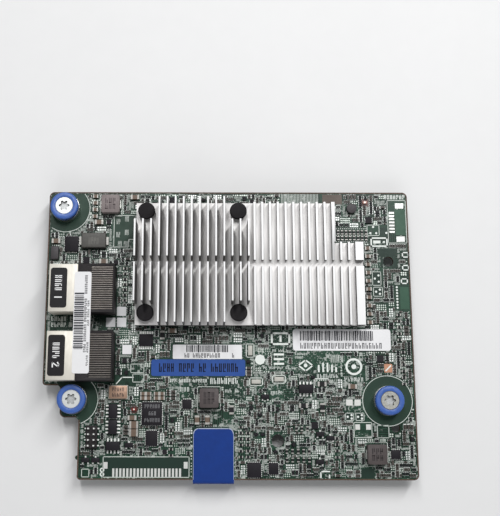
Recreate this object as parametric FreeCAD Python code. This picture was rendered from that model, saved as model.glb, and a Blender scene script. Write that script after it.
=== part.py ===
"""Server RAID controller card: a flat mezzanine circuit board with a finned heat sink.

Board coordinates: X from the left edge, Y from the front edge, Z up from the plane on which the
card's standoffs and its board connector sit. Every solid is moved by ORIGIN when it is written,
so that the part's origin is the centre of its base.
"""
import FreeCAD
import Part
import math
import os

V = FreeCAD.Vector

# ---- circuit board ---------------------------------------------------------------------------
BOARD_L = 135.5
BOARD_W = 106.0
BOARD_T = 1.6
UNDER = 5.0                 # board's underside above the seating plane
TOP = UNDER + BOARD_T
BOARD_CORNER_R = 1.9
NOTCH_X = 13.5              # lower left notch: its right wall
NOTCH_Y = 33.3              # and its top wall
LOBE_X = 6.6                # screw lobe inside the notch: its left wall
LOBE_Y = 21.8               # and its bottom wall
NOTCH_R = 1.5
SNAP_TAB_Y = 7.7            # stub left where the board was snapped out of its panel
SNAP_TAB_R = 0.8
SEAT_GAP = 0.05             # under everything soldered to the board
TOOLING_HOLES = [(3.6, BOARD_W - 13.5, 1.6), (BOARD_L - 8.0, BOARD_W - 26.7, 1.9),
                 (85.3, 13.7, 2.3), (BOARD_L - 7.7, 18.3, 1.6)]

# ---- captive screws --------------------------------------------------------------------------
SCREW_PLACES = [(6.4, BOARD_W - 6.5), (11.3, 28.2), (BOARD_L - 10.3, 27.9)]
SHANK_R = 1.75
TIP_LIFT = 0.3              # screw tip above the seating plane, undriven
KNOB_R = 5.2
KNOB_TOP = 5.0              # above the board
KNOB_H = 1.4
KNOB_CORNER = 0.4
HEAD_R = 3.35
HEAD_H = 1.7
RECESS_R = 2.0
RECESS_DEPTH = 1.1
LOBES = 6
TRAVEL = 1.0                # how far a screw can be pressed down against its spring
STOP_GAP = 0.2              # left between ring and sleeve when pressed
SLEEVE_R = KNOB_R + 0.1
SLEEVE_H = KNOB_TOP - KNOB_H - TRAVEL - STOP_GAP
SLEEVE_WALL = 1.5
SLEEVE_FLOOR = 0.4
SHANK_CLEARANCE = 0.15
SPIGOT_R = 2.8
STANDOFF_R = 3.25
STANDOFF_BORE_R = 2.6
CLIP_R = 2.35
CLIP_T = 0.4
CLIP_GROOVE = 0.35          # depth of the groove that holds the clip
CLIP_GAP = 0.1
SPRING_WIRE = 0.4
SPRING_TURNS = 2.5
HEAD_BOTTOM = TOP + KNOB_TOP - HEAD_H

# ---- heat sink and what it cools -------------------------------------------------------------
SINK_X0 = 33.45
SINK_X1 = BOARD_L - 18.4
SINK_Y0 = 54.7
SINK_Y1 = BOARD_W - 5.6
SINK_STEP_X = SINK_X1 - 10.1  # the back right corner is cut away from here
SINK_STEP_Y = SINK_Y1 - 15.1
SINK_UNDER = 2.7            # base's underside above the board
SINK_BASE_T = 2.3
TALL_FINS = 15
TALL_PITCH = 2.925
TALL_FIN_T = 0.65
TALL_FIN_H = 10.0
SHORT_FIRST_X = 77.25
SHORT_PITCH = 2.88
SHORT_FIN_T = 0.8
SHORT_FIN_H = 2.3
END_STRIP = 3.0             # solid strip along the right edge
SHORT_FINS = int((SINK_X1 - END_STRIP - SHORT_FIRST_X) / SHORT_PITCH) + 1
STEP_RIB = 1.3              # thicker rib beside the cut-away corner
CROSS_CUT_Y = 76.3
CROSS_CUT_W = 2.15
PAD_FINS = 3                # fins cut back at each push pin
FIN_FRONT_Y = 62.3          # where the cut-back fins start and end
FIN_BACK_Y = SINK_Y1 - 8.3
CHIP_L = 33.0
CHIP_LID_INSET = 2.0
CHIP_PAD_INSET = 2.5
CHIP_H = 2.4
CHIP_X = 54.3
CHIP_Y = 77.9
MEMORY_L = 11.0
MEMORY_W = 8.0
MEMORY_H = 1.2
MEMORY_COLUMNS = [81.5, 93.5, 101.5]
MEMORY_ROWS = [60.5, 72.5, 84.5]
MEMORY_PAD_INSET = 0.5

# ---- push pins -------------------------------------------------------------------------------
PIN_XS = [37.4, 71.25]
PIN_YS = [59.0, SINK_Y1 - 3.6]
PIN_SHAFT_R = 1.45
PIN_CLEARANCE = 0.15
PIN_HEAD_R = 3.15
PIN_HEAD_T = 1.3
PIN_SPRING_H = 1.7          # gap between heat sink base and pin head, filled by a spring
PIN_BARB_R = 2.1
PIN_BARB_H = 1.6
PIN_FOOT_LIFT = 0.2         # pin tip above the seating plane
PIN_SPLIT_W = 0.7

# ---- cable ports -----------------------------------------------------------------------------
PORT_YS = [67.8, 43.4]      # port 1 is the back one
PORT_X0 = 2.6
SHELL_L = 10.4
SHELL_W = 17.4
PORT_H = 9.0
SHELL_T = 0.4
HOUSING_L = 13.2
HOUSING_W = SHELL_W + 0.4
MOUTH_FLOOR = 1.4           # height of the mouth's floor above the board
CONTACT_COUNT = 20
CONTACT_PITCH = 0.8
CONTACT_T = 0.24
CONTACT_SLOT_L = 8.0
CONTACT_SLOT_END = 0.4      # from the slots to the housing's back edge
CONTACT_SLOT_DEPTH = 0.7
CONTACT_SLOT_W = 0.44
CONTACT_DROP = 0.15         # contact's top below the housing's
MARKER_L = 6.0
MARKER_W = 14.6
MARKER_CORNER_R = 1.0

# ---- board connector under the card ----------------------------------------------------------
MEZZ_X = 56.7
MEZZ_Y = 39.7
MEZZ_L = 34.4
MEZZ_W = 6.2
MEZZ_WALL = 0.8
MEZZ_TONGUE_W = 1.5
MEZZ_TONGUE_LIFT = 0.9      # tongue's edge inside the mouth
MEZZ_PITCH = 0.8
MEZZ_END_GAP = 0.6          # between the last contact and the shroud
MEZZ_CONTACTS = int((MEZZ_L - 2 * MEZZ_WALL - 2 * MEZZ_END_GAP) / MEZZ_PITCH) + 1
MEZZ_CONTACT_T = 0.25

# ---- labels and pull tab ---------------------------------------------------------------------
LABEL_T = 0.1
PUSH_LABEL = (39.5, 36.7, 73.8, 42.7)
SERIAL_LABEL = (47.3, 42.9, 72.6, 48.1)
LONG_LABEL = (BOARD_L - 44.2, 46.0, BOARD_L - 8.3, 53.9)
PART_LABEL = (11.9, 37.0, 18.0, 73.6)
TAB_X = 62.2
TAB_W = 14.6
TAB_TOP_Y = 18.1
TAB_T = 0.35
TAB_OVERHANG = 1.4
TAB_UNDER_Y = 11.0          # how far the tab runs back under the board
TAB_CORNER_R = 2.0

# ---- parts soldered to the board -------------------------------------------------------------
INDUCTOR_L = 7.0
INDUCTOR_H = 3.0
INDUCTORS = [(23.4, BOARD_W - 5.2), (60.6, 28.7), (BOARD_L - 15.1, 9.0)]
SO8_L = 5.0
SO8_W = 3.1
SO8_H = 1.6
SO8_PITCH = 1.27
SO8_REACH = 1.0             # how far a lead stands out from the body
# centre, and whether the leads leave along X or along Y
SO8_PLACES = [(26.0, 24.1, "x"), (26.0, 18.4, "x"), (26.2, 11.8, "y"), (95.6, 32.1, "y")]
FLAT_CHIPS = [              # leadless chips: centre, length, width, height
    (9.0, BOARD_W - 20.3, 5.2, 5.9, 0.9), (40.0, 14.5, 4.2, 5.4, 0.9), (52.6, 26.6, 3.4, 3.4, 0.8),
    (76.7, 3.5, 5.0, 5.2, 0.9), (83.6, 4.0, 3.5, 4.0, 0.8), (BOARD_L - 8.1, 9.0, 3.4, 3.2, 0.8),
    (40.0, 23.2, 7.3, 8.2, 0.9)]
SOT_L = 2.9
SOT_W = 1.6
SOT_H = 1.0
SOT_PLACES = [(16.5, 6.9), (20.1, 6.9), (31.9, 12.1), (100.5, 16.1), (104.1, 14.7),
              (100.2, 6.4), (80.9, 29.3)]
TSSOP = (37.5, 49.7, 5.0, 4.4, 1.0)
TSSOP_PINS = 8
TSSOP_PITCH = 0.65
OSCILLATOR = (27.7, 30.8, 7.0, 5.0)
OSC_BASE_H = 0.8
OSC_LID_H = 0.6
OSC_LID_INSET = 0.2
DIODE = (17.4, BOARD_W - 19.2, 9.1, 5.7, 2.4)
DIODE_LEAD_W = 3.0
DIODE_LEAD_REACH = 0.9
EDGE_COIL = (2.9, BOARD_W - 23.8, 2.8, 4.9, 1.6)
ROUND_COIL = (BOARD_L - 21.3, BOARD_W - 6.5, 1.9, 1.6)
HEADER_X = 18.5
HEADER_Y = 14.9
HEADER_PITCH = 2.0
HEADER_ROWS = 4
HEADER_BASE_H = 1.2
HEADER_PIN = 0.5
HEADER_PIN_H = 3.2
HEADER_FOOT = 1.4
LED_L = 1.6
LED_W = 0.9
LED_H = 0.6
LEDS = [(BOARD_L - 16.1, BOARD_W - 4.0), (33.5, 24.7)]
BOXED_PARTS = [(75.6, 46.0, 1.6, 3.6), (77.7, 34.7, 3.4, 1.5), (86.0, 35.6, 3.4, 1.6)]
BOXED_H = 0.9
MARKERS = [(28.2, 60.4), (24.3, 56.3), (28.3, 56.3), (30.5, 46.3)]
MARKER_SIZE = 3.4
CAP_1210 = (3.2, 2.5, 1.6)
CAP_1206 = (3.2, 1.6, 1.2)
CAP_0805 = (2.0, 1.25, 0.9)
CHIP_1206 = (3.2, 1.6, 0.6)
CHIP_0603 = (1.6, 0.8, 0.45)
END_SHARE = 0.22            # part of a chip capacitor's length that each metal end covers
END_PROUD = 0.04
# centre, and the axis that the part lies along
BIG_CAPS = [(33.6, 19.2, "x"), (33.6, 16.4, "x")]
LARGE_CAPS = [(19.1, BOARD_W - 11.9, "x"), (3.2, BOARD_W - 19.2, "x"), (21.2, BOARD_W - 26.9, "x"),
              (32.4, BOARD_W - 2.2, "x"), (47.1, 53.2, "x"), (56.3, 21.0, "y"), (60.0, 21.0, "y"),
              (BOARD_L - 22.9, 33.0, "x"), (32.9, 21.7, "x")]
CAP_ROWS = [                # first centre, step, how many: rows and columns of 0805 capacitors
    (36.7, 30.3, 2.0, 0.0, 2), (36.7, 28.7, 2.0, 0.0, 2), (41.6, 30.3, 2.0, 0.0, 2),
    (41.6, 28.7, 2.0, 0.0, 2), (BOARD_L - 15.7, 56.4, 0.0, 3.1, 10),
    (17.5, BOARD_W - 9.6, 0.0, 2.6, 4)]
RESISTORS = [(43.4, 51.6, "y"), (94.7, 26.2, "x"), (68.7, 24.6, "y"), (101.6, 25.5, "y"),
             (101.6, 33.9, "x")]
RESISTOR_ROWS = [
    (BOARD_L - 26.5, BOARD_W - 17.8, 1.5, 0.0, 8), (BOARD_L - 26.5, BOARD_W - 15.6, 1.5, 0.0, 8),
    (29.3, 64.4, 0.0, 2.0, 7), (72.0, 8.0, 0.0, 2.1, 6), (74.6, 8.0, 0.0, 2.1, 5),
    (88.5, 7.0, 2.0, 0.0, 5), (88.5, 10.0, 2.0, 0.0, 5), (92.0, 18.0, 2.0, 0.0, 3),
    (BOARD_L - 29.0, 8.0, 0.0, 2.2, 4), (47.0, 8.5, 0.0, 2.2, 5),
    (BOARD_L - 5.0, 50.0, 0.0, 2.3, 5), (BOARD_L - 4.0, 34.0, 0.0, 2.3, 6)]

# ---- bare pads where connectors were left off ------------------------------------------------
PAD_T = 0.04
FRONT_PADS = 20
FRONT_PAD_PITCH = 1.2525
FRONT_PAD = (26.5, 2.5, 0.75, 2.9)      # first centre, width, length
FRONT_HOLD_DOWNS = [(23.7, 5.0, 1.4, 2.3), (52.3, 5.1, 1.4, 2.3)]
BACK_PADS = 7
BACK_PAD_PITCH = 1.23
BACK_PAD = (BOARD_L - 6.1, BOARD_W - 15.3, 2.0, 0.7)
BACK_HOLD_DOWNS = [(BOARD_L - 3.1, BOARD_W - 5.2, 3.1, 2.0), (BOARD_L - 3.0, BOARD_W - 18.1, 3.1, 2.0)]
OTHER_PADS = [(BOARD_L - 24.1, 27.3, 2.4, 2.2), (BOARD_L - 21.1, 27.3, 2.2, 2.2),
              (BOARD_L - 21.4, 18.6, 1.7, 1.9), (BOARD_L - 17.5, 18.6, 1.7, 1.9),
              (BOARD_L - 9.5, 39.7, 2.6, 2.8)]

# ---- parts on the underside ------------------------------------------------------------------
UNDER_CHIPS = [(96.0, 70.0, 10.0, 8.0), (20.0, BOARD_W - 14.0, 5.0, 5.0), (100.0, 20.0, 7.0, 7.0)]
UNDER_CHIP_H = 1.0
UNDER_CAP_FIRST = (46.8, 70.4)          # first centre, behind the chip
UNDER_CAP_PITCH = 2.5
UNDER_CAP_SIZE = (1.2, 0.7, 0.6)
UNDER_CAP_ROWS = 7

ORIGIN = V(-BOARD_L / 2, -(BOARD_W - TAB_OVERHANG) / 2, 0)


def box(x0, y0, z0, x1, y1, z1):
    """Box between two corners."""
    return Part.makeBox(x1 - x0, y1 - y0, z1 - z0, V(x0, y0, z0))


def block(x, y, length, width, z, height):
    """Box centred on x, y and standing on z."""
    return Part.makeBox(length, width, height, V(x - length / 2, y - width / 2, z))


def tube(x, y, z0, z1, outer, inner=0.0):
    """Upright cylinder, hollow where an inner radius is given."""
    body = Part.makeCylinder(outer, z1 - z0, V(x, y, z0))
    if inner > 0:
        body = body.cut(Part.makeCylinder(inner, z1 - z0, V(x, y, z0)))
    return body


def outline_face(corners, z):
    """Face inside straight runs joined by arcs; each corner is (x, y, radius)."""
    edges = []
    arcs = []
    count = len(corners)
    for i in range(count):
        x, y, radius = corners[i]
        before = V(corners[i - 1][0], corners[i - 1][1], z)
        here = V(x, y, z)
        after = V(corners[(i + 1) % count][0], corners[(i + 1) % count][1], z)
        to_before = (before - here).normalize()
        to_after = (after - here).normalize()
        half = to_before.getAngle(to_after) / 2
        reach = radius / math.tan(half)
        middle = (to_before + to_after).normalize()
        centre = here + middle * (radius / math.sin(half))
        arcs.append((here + to_before * reach, centre - middle * radius, here + to_after * reach))
    for i in range(count):
        start, through, end = arcs[i]
        edges.append(Part.Arc(start, through, end).toShape())
        edges.append(Part.LineSegment(end, arcs[(i + 1) % count][0]).toShape())
    return Part.Face(Part.Wire(edges))


def rounded_plate(x0, y0, x1, y1, z, height, radius):
    """Flat plate with rounded corners."""
    corners = [(x0, y0, radius), (x1, y0, radius), (x1, y1, radius), (x0, y1, radius)]
    return outline_face(corners, z).extrude(V(0, 0, height))


def coil(x, y, z, height, radius, wire, turns):
    """Flat-wire compression spring standing on z."""
    helix = Part.makeHelix((height - wire) / turns, height - wire, radius)
    helix.translate(V(x, y, z + wire / 2))
    start = V(x + radius, y, z + wire / 2)
    half = wire / 2
    corners = [start + V(dx * half, 0, dz * half)
               for dx, dz in ((-1, -1), (1, -1), (1, 1), (-1, 1), (-1, -1))]
    return Part.Wire(helix.Edges).makePipeShell([Part.makePolygon(corners)], True, True)


def write(name, solids):
    """Write one node: a solid, or several that are alike."""
    group = solids if isinstance(solids, list) else [solids]
    shape = group[0] if len(group) == 1 else Part.makeCompound(group)
    shape = shape.copy()
    shape.translate(ORIGIN)
    shape.exportStep(f"parts/{name}.step")


# ---- circuit board ---------------------------------------------------------------------------
def circuit_board():
    outline = [(NOTCH_X, 0, 1.2), (BOARD_L, 0, BOARD_CORNER_R), (BOARD_L, BOARD_W, BOARD_CORNER_R),
               (0, BOARD_W, BOARD_CORNER_R), (0, NOTCH_Y, 1.2), (LOBE_X, NOTCH_Y, NOTCH_R),
               (LOBE_X, LOBE_Y, NOTCH_R + 0.5), (NOTCH_X, LOBE_Y, NOTCH_R)]
    board = outline_face(outline, UNDER).extrude(V(0, 0, BOARD_T))
    board = board.fuse(tube(NOTCH_X, SNAP_TAB_Y, UNDER, TOP, SNAP_TAB_R))
    holes = [tube(x, y, UNDER, TOP, r) for x, y, r in TOOLING_HOLES]
    holes += [tube(x, y, UNDER, TOP, SPIGOT_R) for x, y in SCREW_PLACES]
    holes += [tube(x, y, UNDER, TOP, PIN_SHAFT_R + PIN_CLEARANCE) for x, y in pin_places()]
    return board.cut(Part.makeCompound(holes))


def pin_places():
    return [(x, y) for x in PIN_XS for y in PIN_YS]


# ---- captive screws --------------------------------------------------------------------------
def six_lobe_recess(x, y, z, depth):
    """Star socket: a round hole with lobes round it."""
    hole = Part.makeCylinder(RECESS_R * 0.72, depth, V(x, y, z))
    for i in range(LOBES):
        angle = 2 * math.pi * i / LOBES
        reach = RECESS_R * 0.76
        place = V(x + reach * math.cos(angle), y + reach * math.sin(angle), z)
        hole = hole.fuse(Part.makeCylinder(RECESS_R * 0.24, depth, place))
    return hole


def captive_screw(x, y):
    head_top = TOP + KNOB_TOP
    clip_z = UNDER - CLIP_GAP - CLIP_T
    screw = tube(x, y, HEAD_BOTTOM, head_top, HEAD_R)
    screw = screw.fuse(tube(x, y, TIP_LIFT, HEAD_BOTTOM, SHANK_R))
    rim = [edge for edge in screw.Edges if edge.BoundBox.ZMin > head_top - 0.01]
    screw = screw.makeChamfer(0.25, rim)
    tip = [edge for edge in screw.Edges if edge.BoundBox.ZMax < TIP_LIFT + 0.01]
    screw = screw.makeChamfer(0.5, tip)
    groove = tube(x, y, clip_z, clip_z + CLIP_T, SHANK_R + 1, SHANK_R - CLIP_GROOVE)
    return screw.cut(groove).cut(six_lobe_recess(x, y, head_top - RECESS_DEPTH, RECESS_DEPTH))


def knob_ring(x, y):
    """Blue ring pressed on the screw head; it comes down towards the sleeve's rim."""
    top = TOP + KNOB_TOP
    ring = tube(x, y, top - KNOB_H, top, KNOB_R, HEAD_R)
    rim = [e for e in ring.Edges if e.BoundBox.ZMin > top - 0.01 and e.BoundBox.XLength > 2 * HEAD_R + 1]
    return ring.makeChamfer(KNOB_CORNER, rim)


def screw_sleeve(x, y):
    """Turned cup pressed through the board: it holds the spring and guides the screw."""
    bore = SHANK_R + SHANK_CLEARANCE
    cup = tube(x, y, TOP, TOP + SLEEVE_H, SLEEVE_R, SLEEVE_R - SLEEVE_WALL)
    floor = tube(x, y, TOP, TOP + SLEEVE_FLOOR, SLEEVE_R, bore)
    spigot = tube(x, y, UNDER, TOP, SPIGOT_R, bore)
    return cup.fuse([floor, spigot]).removeSplitter()


def standoff(x, y):
    return tube(x, y, 0, UNDER, STANDOFF_R, STANDOFF_BORE_R)


def retaining_clip(x, y):
    """Snap ring in the shank's groove, open on one side."""
    z = UNDER - CLIP_GAP - CLIP_T
    ring = tube(x, y, z, z + CLIP_T, CLIP_R, SHANK_R - CLIP_GROOVE + 0.02)
    return ring.cut(block(x + CLIP_R, y, 2 * CLIP_R, 1.2, z, CLIP_T))


def screw_spring(x, y):
    floor = TOP + SLEEVE_FLOOR + SEAT_GAP
    return coil(x, y, floor, HEAD_BOTTOM - SEAT_GAP - floor, SHANK_R + 0.6, SPRING_WIRE, SPRING_TURNS)


# ---- heat sink -------------------------------------------------------------------------------
def heat_sink():
    base_z = TOP + SINK_UNDER
    fin_z = base_z + SINK_BASE_T
    base = Part.Face(Part.makePolygon([
        V(SINK_X0, SINK_Y0, base_z), V(SINK_X1, SINK_Y0, base_z), V(SINK_X1, SINK_STEP_Y, base_z),
        V(SINK_STEP_X, SINK_STEP_Y, base_z), V(SINK_STEP_X, SINK_Y1, base_z),
        V(SINK_X0, SINK_Y1, base_z), V(SINK_X0, SINK_Y0, base_z)]))
    solid = base.extrude(V(0, 0, SINK_BASE_T))
    fins = []
    for i in range(TALL_FINS):
        x = SINK_X0 + i * TALL_PITCH
        beside_pin = i < PAD_FINS or i >= TALL_FINS - PAD_FINS
        y0 = FIN_FRONT_Y if beside_pin else SINK_Y0
        y1 = FIN_BACK_Y if beside_pin else SINK_Y1
        fins.append(box(x, y0, fin_z, x + TALL_FIN_T, y1, fin_z + TALL_FIN_H))
    for i in range(SHORT_FINS):
        x = SHORT_FIRST_X - SHORT_FIN_T / 2 + i * SHORT_PITCH
        y1 = SINK_STEP_Y if x + SHORT_FIN_T > SINK_STEP_X else SINK_Y1
        fins.append(box(x, SINK_Y0, fin_z, x + SHORT_FIN_T, y1, fin_z + SHORT_FIN_H))
    fins.append(box(SINK_STEP_X - STEP_RIB, SINK_STEP_Y, fin_z, SINK_STEP_X, SINK_Y1, fin_z + SHORT_FIN_H))
    fins.append(box(SINK_X1 - END_STRIP, SINK_Y0, fin_z, SINK_X1, SINK_STEP_Y, fin_z + SHORT_FIN_H))
    solid = solid.fuse(fins)
    cuts = [box(SINK_X0 - 1, CROSS_CUT_Y, fin_z, SINK_X1 + 1, CROSS_CUT_Y + CROSS_CUT_W, fin_z + TALL_FIN_H)]
    cuts += [tube(x, y, base_z, fin_z, PIN_SHAFT_R + PIN_CLEARANCE) for x, y in pin_places()]
    return solid.cut(Part.makeCompound(cuts)).removeSplitter()


def controller_chip():
    """Ball-grid package with a smaller metal lid."""
    base = block(CHIP_X, CHIP_Y, CHIP_L, CHIP_L, TOP + SEAT_GAP, CHIP_H * 0.45)
    lid_z = TOP + SEAT_GAP + CHIP_H * 0.45
    lid_l = CHIP_L - 2 * CHIP_LID_INSET
    return base.fuse(block(CHIP_X, CHIP_Y, lid_l, lid_l, lid_z, TOP + CHIP_H - lid_z))


def thermal_pads():
    """Soft pads that fill the gaps between the chips and the heat sink."""
    length = MEMORY_L - 2 * MEMORY_PAD_INSET
    width = MEMORY_W - 2 * MEMORY_PAD_INSET
    pads = [block(x, y, width, length, TOP + MEMORY_H, SINK_UNDER - MEMORY_H)
            for x in MEMORY_COLUMNS for y in MEMORY_ROWS]
    pad_l = CHIP_L - 2 * CHIP_PAD_INSET
    return pads + [block(CHIP_X, CHIP_Y, pad_l, pad_l, TOP + CHIP_H, SINK_UNDER - CHIP_H)]


def memory_chips():
    return [block(x, y, MEMORY_W, MEMORY_L, TOP + SEAT_GAP, MEMORY_H - SEAT_GAP)
            for x in MEMORY_COLUMNS for y in MEMORY_ROWS]


# ---- push pins -------------------------------------------------------------------------------
def push_pin(x, y):
    """Nylon pin: domed head, shaft and a split barb under the board."""
    head_z = TOP + SINK_UNDER + SINK_BASE_T + PIN_SPRING_H
    head = tube(x, y, head_z, head_z + PIN_HEAD_T, PIN_HEAD_R)
    rim = [edge for edge in head.Edges if edge.BoundBox.ZMin > head_z + PIN_HEAD_T - 0.01]
    head = head.makeChamfer(0.3, rim)
    shaft = tube(x, y, PIN_FOOT_LIFT, head_z, PIN_SHAFT_R)
    barb_top = UNDER - SEAT_GAP
    barb = Part.makeCone(PIN_SHAFT_R, PIN_BARB_R, PIN_BARB_H, V(x, y, barb_top - PIN_BARB_H))
    pin = head.fuse([shaft, barb])
    split = block(x, y, PIN_SPLIT_W, 2 * PIN_BARB_R + 1, PIN_FOOT_LIFT - 1, UNDER)
    return pin.cut(split)


def pin_spring(x, y):
    z = TOP + SINK_UNDER + SINK_BASE_T + SEAT_GAP
    return coil(x, y, z, PIN_SPRING_H - 2 * SEAT_GAP, PIN_SHAFT_R + 0.7, SPRING_WIRE, SPRING_TURNS - 0.5)


# ---- cable ports -----------------------------------------------------------------------------
def port_shell(y):
    """Sheet-metal cage round the plug's mouth, open towards the board's edge."""
    y0 = y - SHELL_W / 2
    y1 = y + SHELL_W / 2
    x1 = PORT_X0 + SHELL_L
    z0 = TOP + SEAT_GAP
    cage = box(PORT_X0, y0, z0, x1, y1, TOP + PORT_H)
    inside = box(PORT_X0, y0 + SHELL_T, z0, x1, y1 - SHELL_T, TOP + PORT_H - SHELL_T)
    window = block(PORT_X0 + SHELL_L / 2, y, SHELL_L * 0.3, SHELL_W, TOP + PORT_H * 0.4, PORT_H * 0.2)
    return cage.cut(inside).cut(window)


def port_housing(y):
    """Moulded body: a floor under the mouth and a block behind it with a slot for each contact."""
    y0 = y - HOUSING_W / 2
    y1 = y + HOUSING_W / 2
    x1 = PORT_X0 + SHELL_L
    inner = SHELL_W / 2 - SHELL_T - SEAT_GAP
    floor = box(PORT_X0 + 0.3, y - inner, TOP + SEAT_GAP, x1, y + inner, TOP + MOUTH_FLOOR)
    back = box(x1, y0, TOP + SEAT_GAP, x1 + HOUSING_L, y1, TOP + PORT_H)
    body = floor.fuse(back)
    slots = [block(contact_x(), slot_y, CONTACT_SLOT_L, CONTACT_SLOT_W,
                   TOP + PORT_H - CONTACT_SLOT_DEPTH, CONTACT_SLOT_DEPTH) for slot_y in contact_rows(y)]
    return body.cut(Part.makeCompound(slots)).removeSplitter()


def contact_x():
    return PORT_X0 + SHELL_L + HOUSING_L - CONTACT_SLOT_END - CONTACT_SLOT_L / 2


def contact_rows(y):
    first = y - CONTACT_PITCH * (CONTACT_COUNT - 1) / 2
    return [first + i * CONTACT_PITCH for i in range(CONTACT_COUNT)]


def port_contacts(y):
    z = TOP + PORT_H - CONTACT_SLOT_DEPTH
    length = CONTACT_SLOT_L - 2 * CONTACT_DROP
    return [block(contact_x(), row, length, CONTACT_T, z, CONTACT_SLOT_DEPTH - CONTACT_DROP)
            for row in contact_rows(y)]


def port_marker(y):
    x0 = PORT_X0 + 0.6
    return rounded_plate(x0, y - MARKER_W / 2, x0 + MARKER_L, y + MARKER_W / 2,
                         TOP + PORT_H, LABEL_T, MARKER_CORNER_R)


# ---- board connector -------------------------------------------------------------------------
def mezzanine_connector():
    """Plug whose shroud opens downwards round a tongue that carries the contacts."""
    body = block(MEZZ_X, MEZZ_Y, MEZZ_L, MEZZ_W, 0, UNDER - SEAT_GAP)
    mouth = block(MEZZ_X, MEZZ_Y, MEZZ_L - 2 * MEZZ_WALL, MEZZ_W - 2 * MEZZ_WALL, 0, UNDER * 0.7)
    tongue = block(MEZZ_X, MEZZ_Y, MEZZ_L - 2 * MEZZ_WALL, MEZZ_TONGUE_W,
                   MEZZ_TONGUE_LIFT, UNDER * 0.7 - MEZZ_TONGUE_LIFT)
    return body.cut(mouth).fuse(tongue).removeSplitter()


def mezzanine_contacts():
    first = MEZZ_X - MEZZ_PITCH * (MEZZ_CONTACTS - 1) / 2
    reach = MEZZ_TONGUE_W / 2 + MEZZ_CONTACT_T / 2
    return [block(first + i * MEZZ_PITCH, MEZZ_Y + side * reach, MEZZ_PITCH * 0.5, MEZZ_CONTACT_T,
                  MEZZ_TONGUE_LIFT + 0.3, UNDER * 0.7 - MEZZ_TONGUE_LIFT - 0.3)
            for i in range(MEZZ_CONTACTS) for side in (-1, 1)]


# ---- labels and pull tab ---------------------------------------------------------------------
def label(corners, z, radius=0.8):
    x0, y0, x1, y1 = corners
    return rounded_plate(x0, y0, x1, y1, z, LABEL_T, radius)


def pull_tab():
    """Strip of film stuck to both faces of the board and folded round its front edge."""
    x0 = TAB_X - TAB_W / 2
    x1 = TAB_X + TAB_W / 2
    inner = TAB_OVERHANG - TAB_T
    profile = box(x0, -TAB_OVERHANG, UNDER - TAB_T, x1, TAB_TOP_Y, TOP + TAB_T)
    front = [edge for edge in profile.Edges
             if edge.BoundBox.YMax < 0 and edge.BoundBox.XLength > TAB_W - 0.1]
    profile = profile.makeFillet((BOARD_T + 2 * TAB_T) * 0.45, front)
    hollow = box(x0, -inner, UNDER, x1, TAB_TOP_Y, TOP)
    below = box(x0, TAB_UNDER_Y, UNDER - TAB_T, x1, TAB_TOP_Y, UNDER)
    strip = profile.cut(hollow).cut(below)
    corners = [edge for edge in strip.Edges
               if edge.BoundBox.YMin > TAB_TOP_Y - 0.01 and edge.BoundBox.ZLength > TAB_T - 0.01]
    return strip.makeFillet(TAB_CORNER_R, corners)


# ---- soldered parts --------------------------------------------------------------------------
def power_inductor(x, y):
    body = block(x, y, INDUCTOR_L, INDUCTOR_L, TOP + SEAT_GAP, INDUCTOR_H)
    upright = [edge for edge in body.Edges if edge.BoundBox.ZLength > INDUCTOR_H - 0.01]
    return body.makeChamfer(0.5, upright)


def inductor_terminals(x, y):
    reach = INDUCTOR_L / 2
    return [block(x + side * (reach + 0.15), y, 0.3, INDUCTOR_L * 0.45, TOP + SEAT_GAP, INDUCTOR_H * 0.5)
            for side in (-1, 1)]


def turned(shapes, x, y, along):
    """Shapes laid out along X, turned a quarter about x, y where they lie along Y."""
    if along == "y":
        for shape in shapes:
            shape.rotate(V(x, y, 0), V(0, 0, 1), 90)
    return shapes


def gull_leads(x, y, width, count, pitch, reach, height, along):
    """Two rows of bent leads; before turning, the rows stand off the body's X faces."""
    leads = []
    for side in (-1, 1):
        for i in range(count):
            row = y + (i - (count - 1) / 2) * pitch
            foot = block(x + side * (width / 2 + reach * 0.65), row, reach * 0.7, pitch * 0.32, TOP, 0.15)
            knee = block(x + side * (width / 2 + reach * 0.15), row, reach * 0.3, pitch * 0.32,
                         TOP, height * 0.55)
            leads.append(foot.fuse(knee).removeSplitter())
    return turned(leads, x, y, along)


def leaded_chips():
    """Eight-lead chips and one longer driver chip, each just clear of the board."""
    bodies = [turned([block(x, y, SO8_W, SO8_L, TOP + SEAT_GAP * 2, SO8_H)], x, y, along)[0]
              for x, y, along in SO8_PLACES]
    x, y, length, width, height = TSSOP
    return bodies + [block(x, y, length, width, TOP + SEAT_GAP * 2, height)]


def chip_leads():
    leads = []
    for x, y, along in SO8_PLACES:
        leads += gull_leads(x, y, SO8_W, 4, SO8_PITCH, SO8_REACH, SO8_H, along)
    x, y, length, width, height = TSSOP
    leads += gull_leads(x, y, width, TSSOP_PINS, TSSOP_PITCH, SO8_REACH, height, "y")
    for x, y in SOT_PLACES:
        leads += sot_leads(x, y)
    return leads


def small_inductors():
    """A moulded coil at the left edge and a round one near the back."""
    x, y, length, width, height = EDGE_COIL
    moulded = block(x, y, length, width, TOP + SEAT_GAP, height)
    x, y, radius, height = ROUND_COIL
    return [moulded, tube(x, y, TOP + SEAT_GAP, TOP + height, radius)]


def sot_leads(x, y):
    leads = [block(x + dx, y - SOT_W / 2 - 0.25, 0.4, 0.5, TOP, 0.5) for dx in (-0.95, 0.95)]
    return leads + [block(x, y + SOT_W / 2 + 0.25, 0.4, 0.5, TOP, 0.5)]


def oscillator_base():
    x, y, length, width = OSCILLATOR
    return block(x, y, length, width, TOP + SEAT_GAP, OSC_BASE_H)


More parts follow.
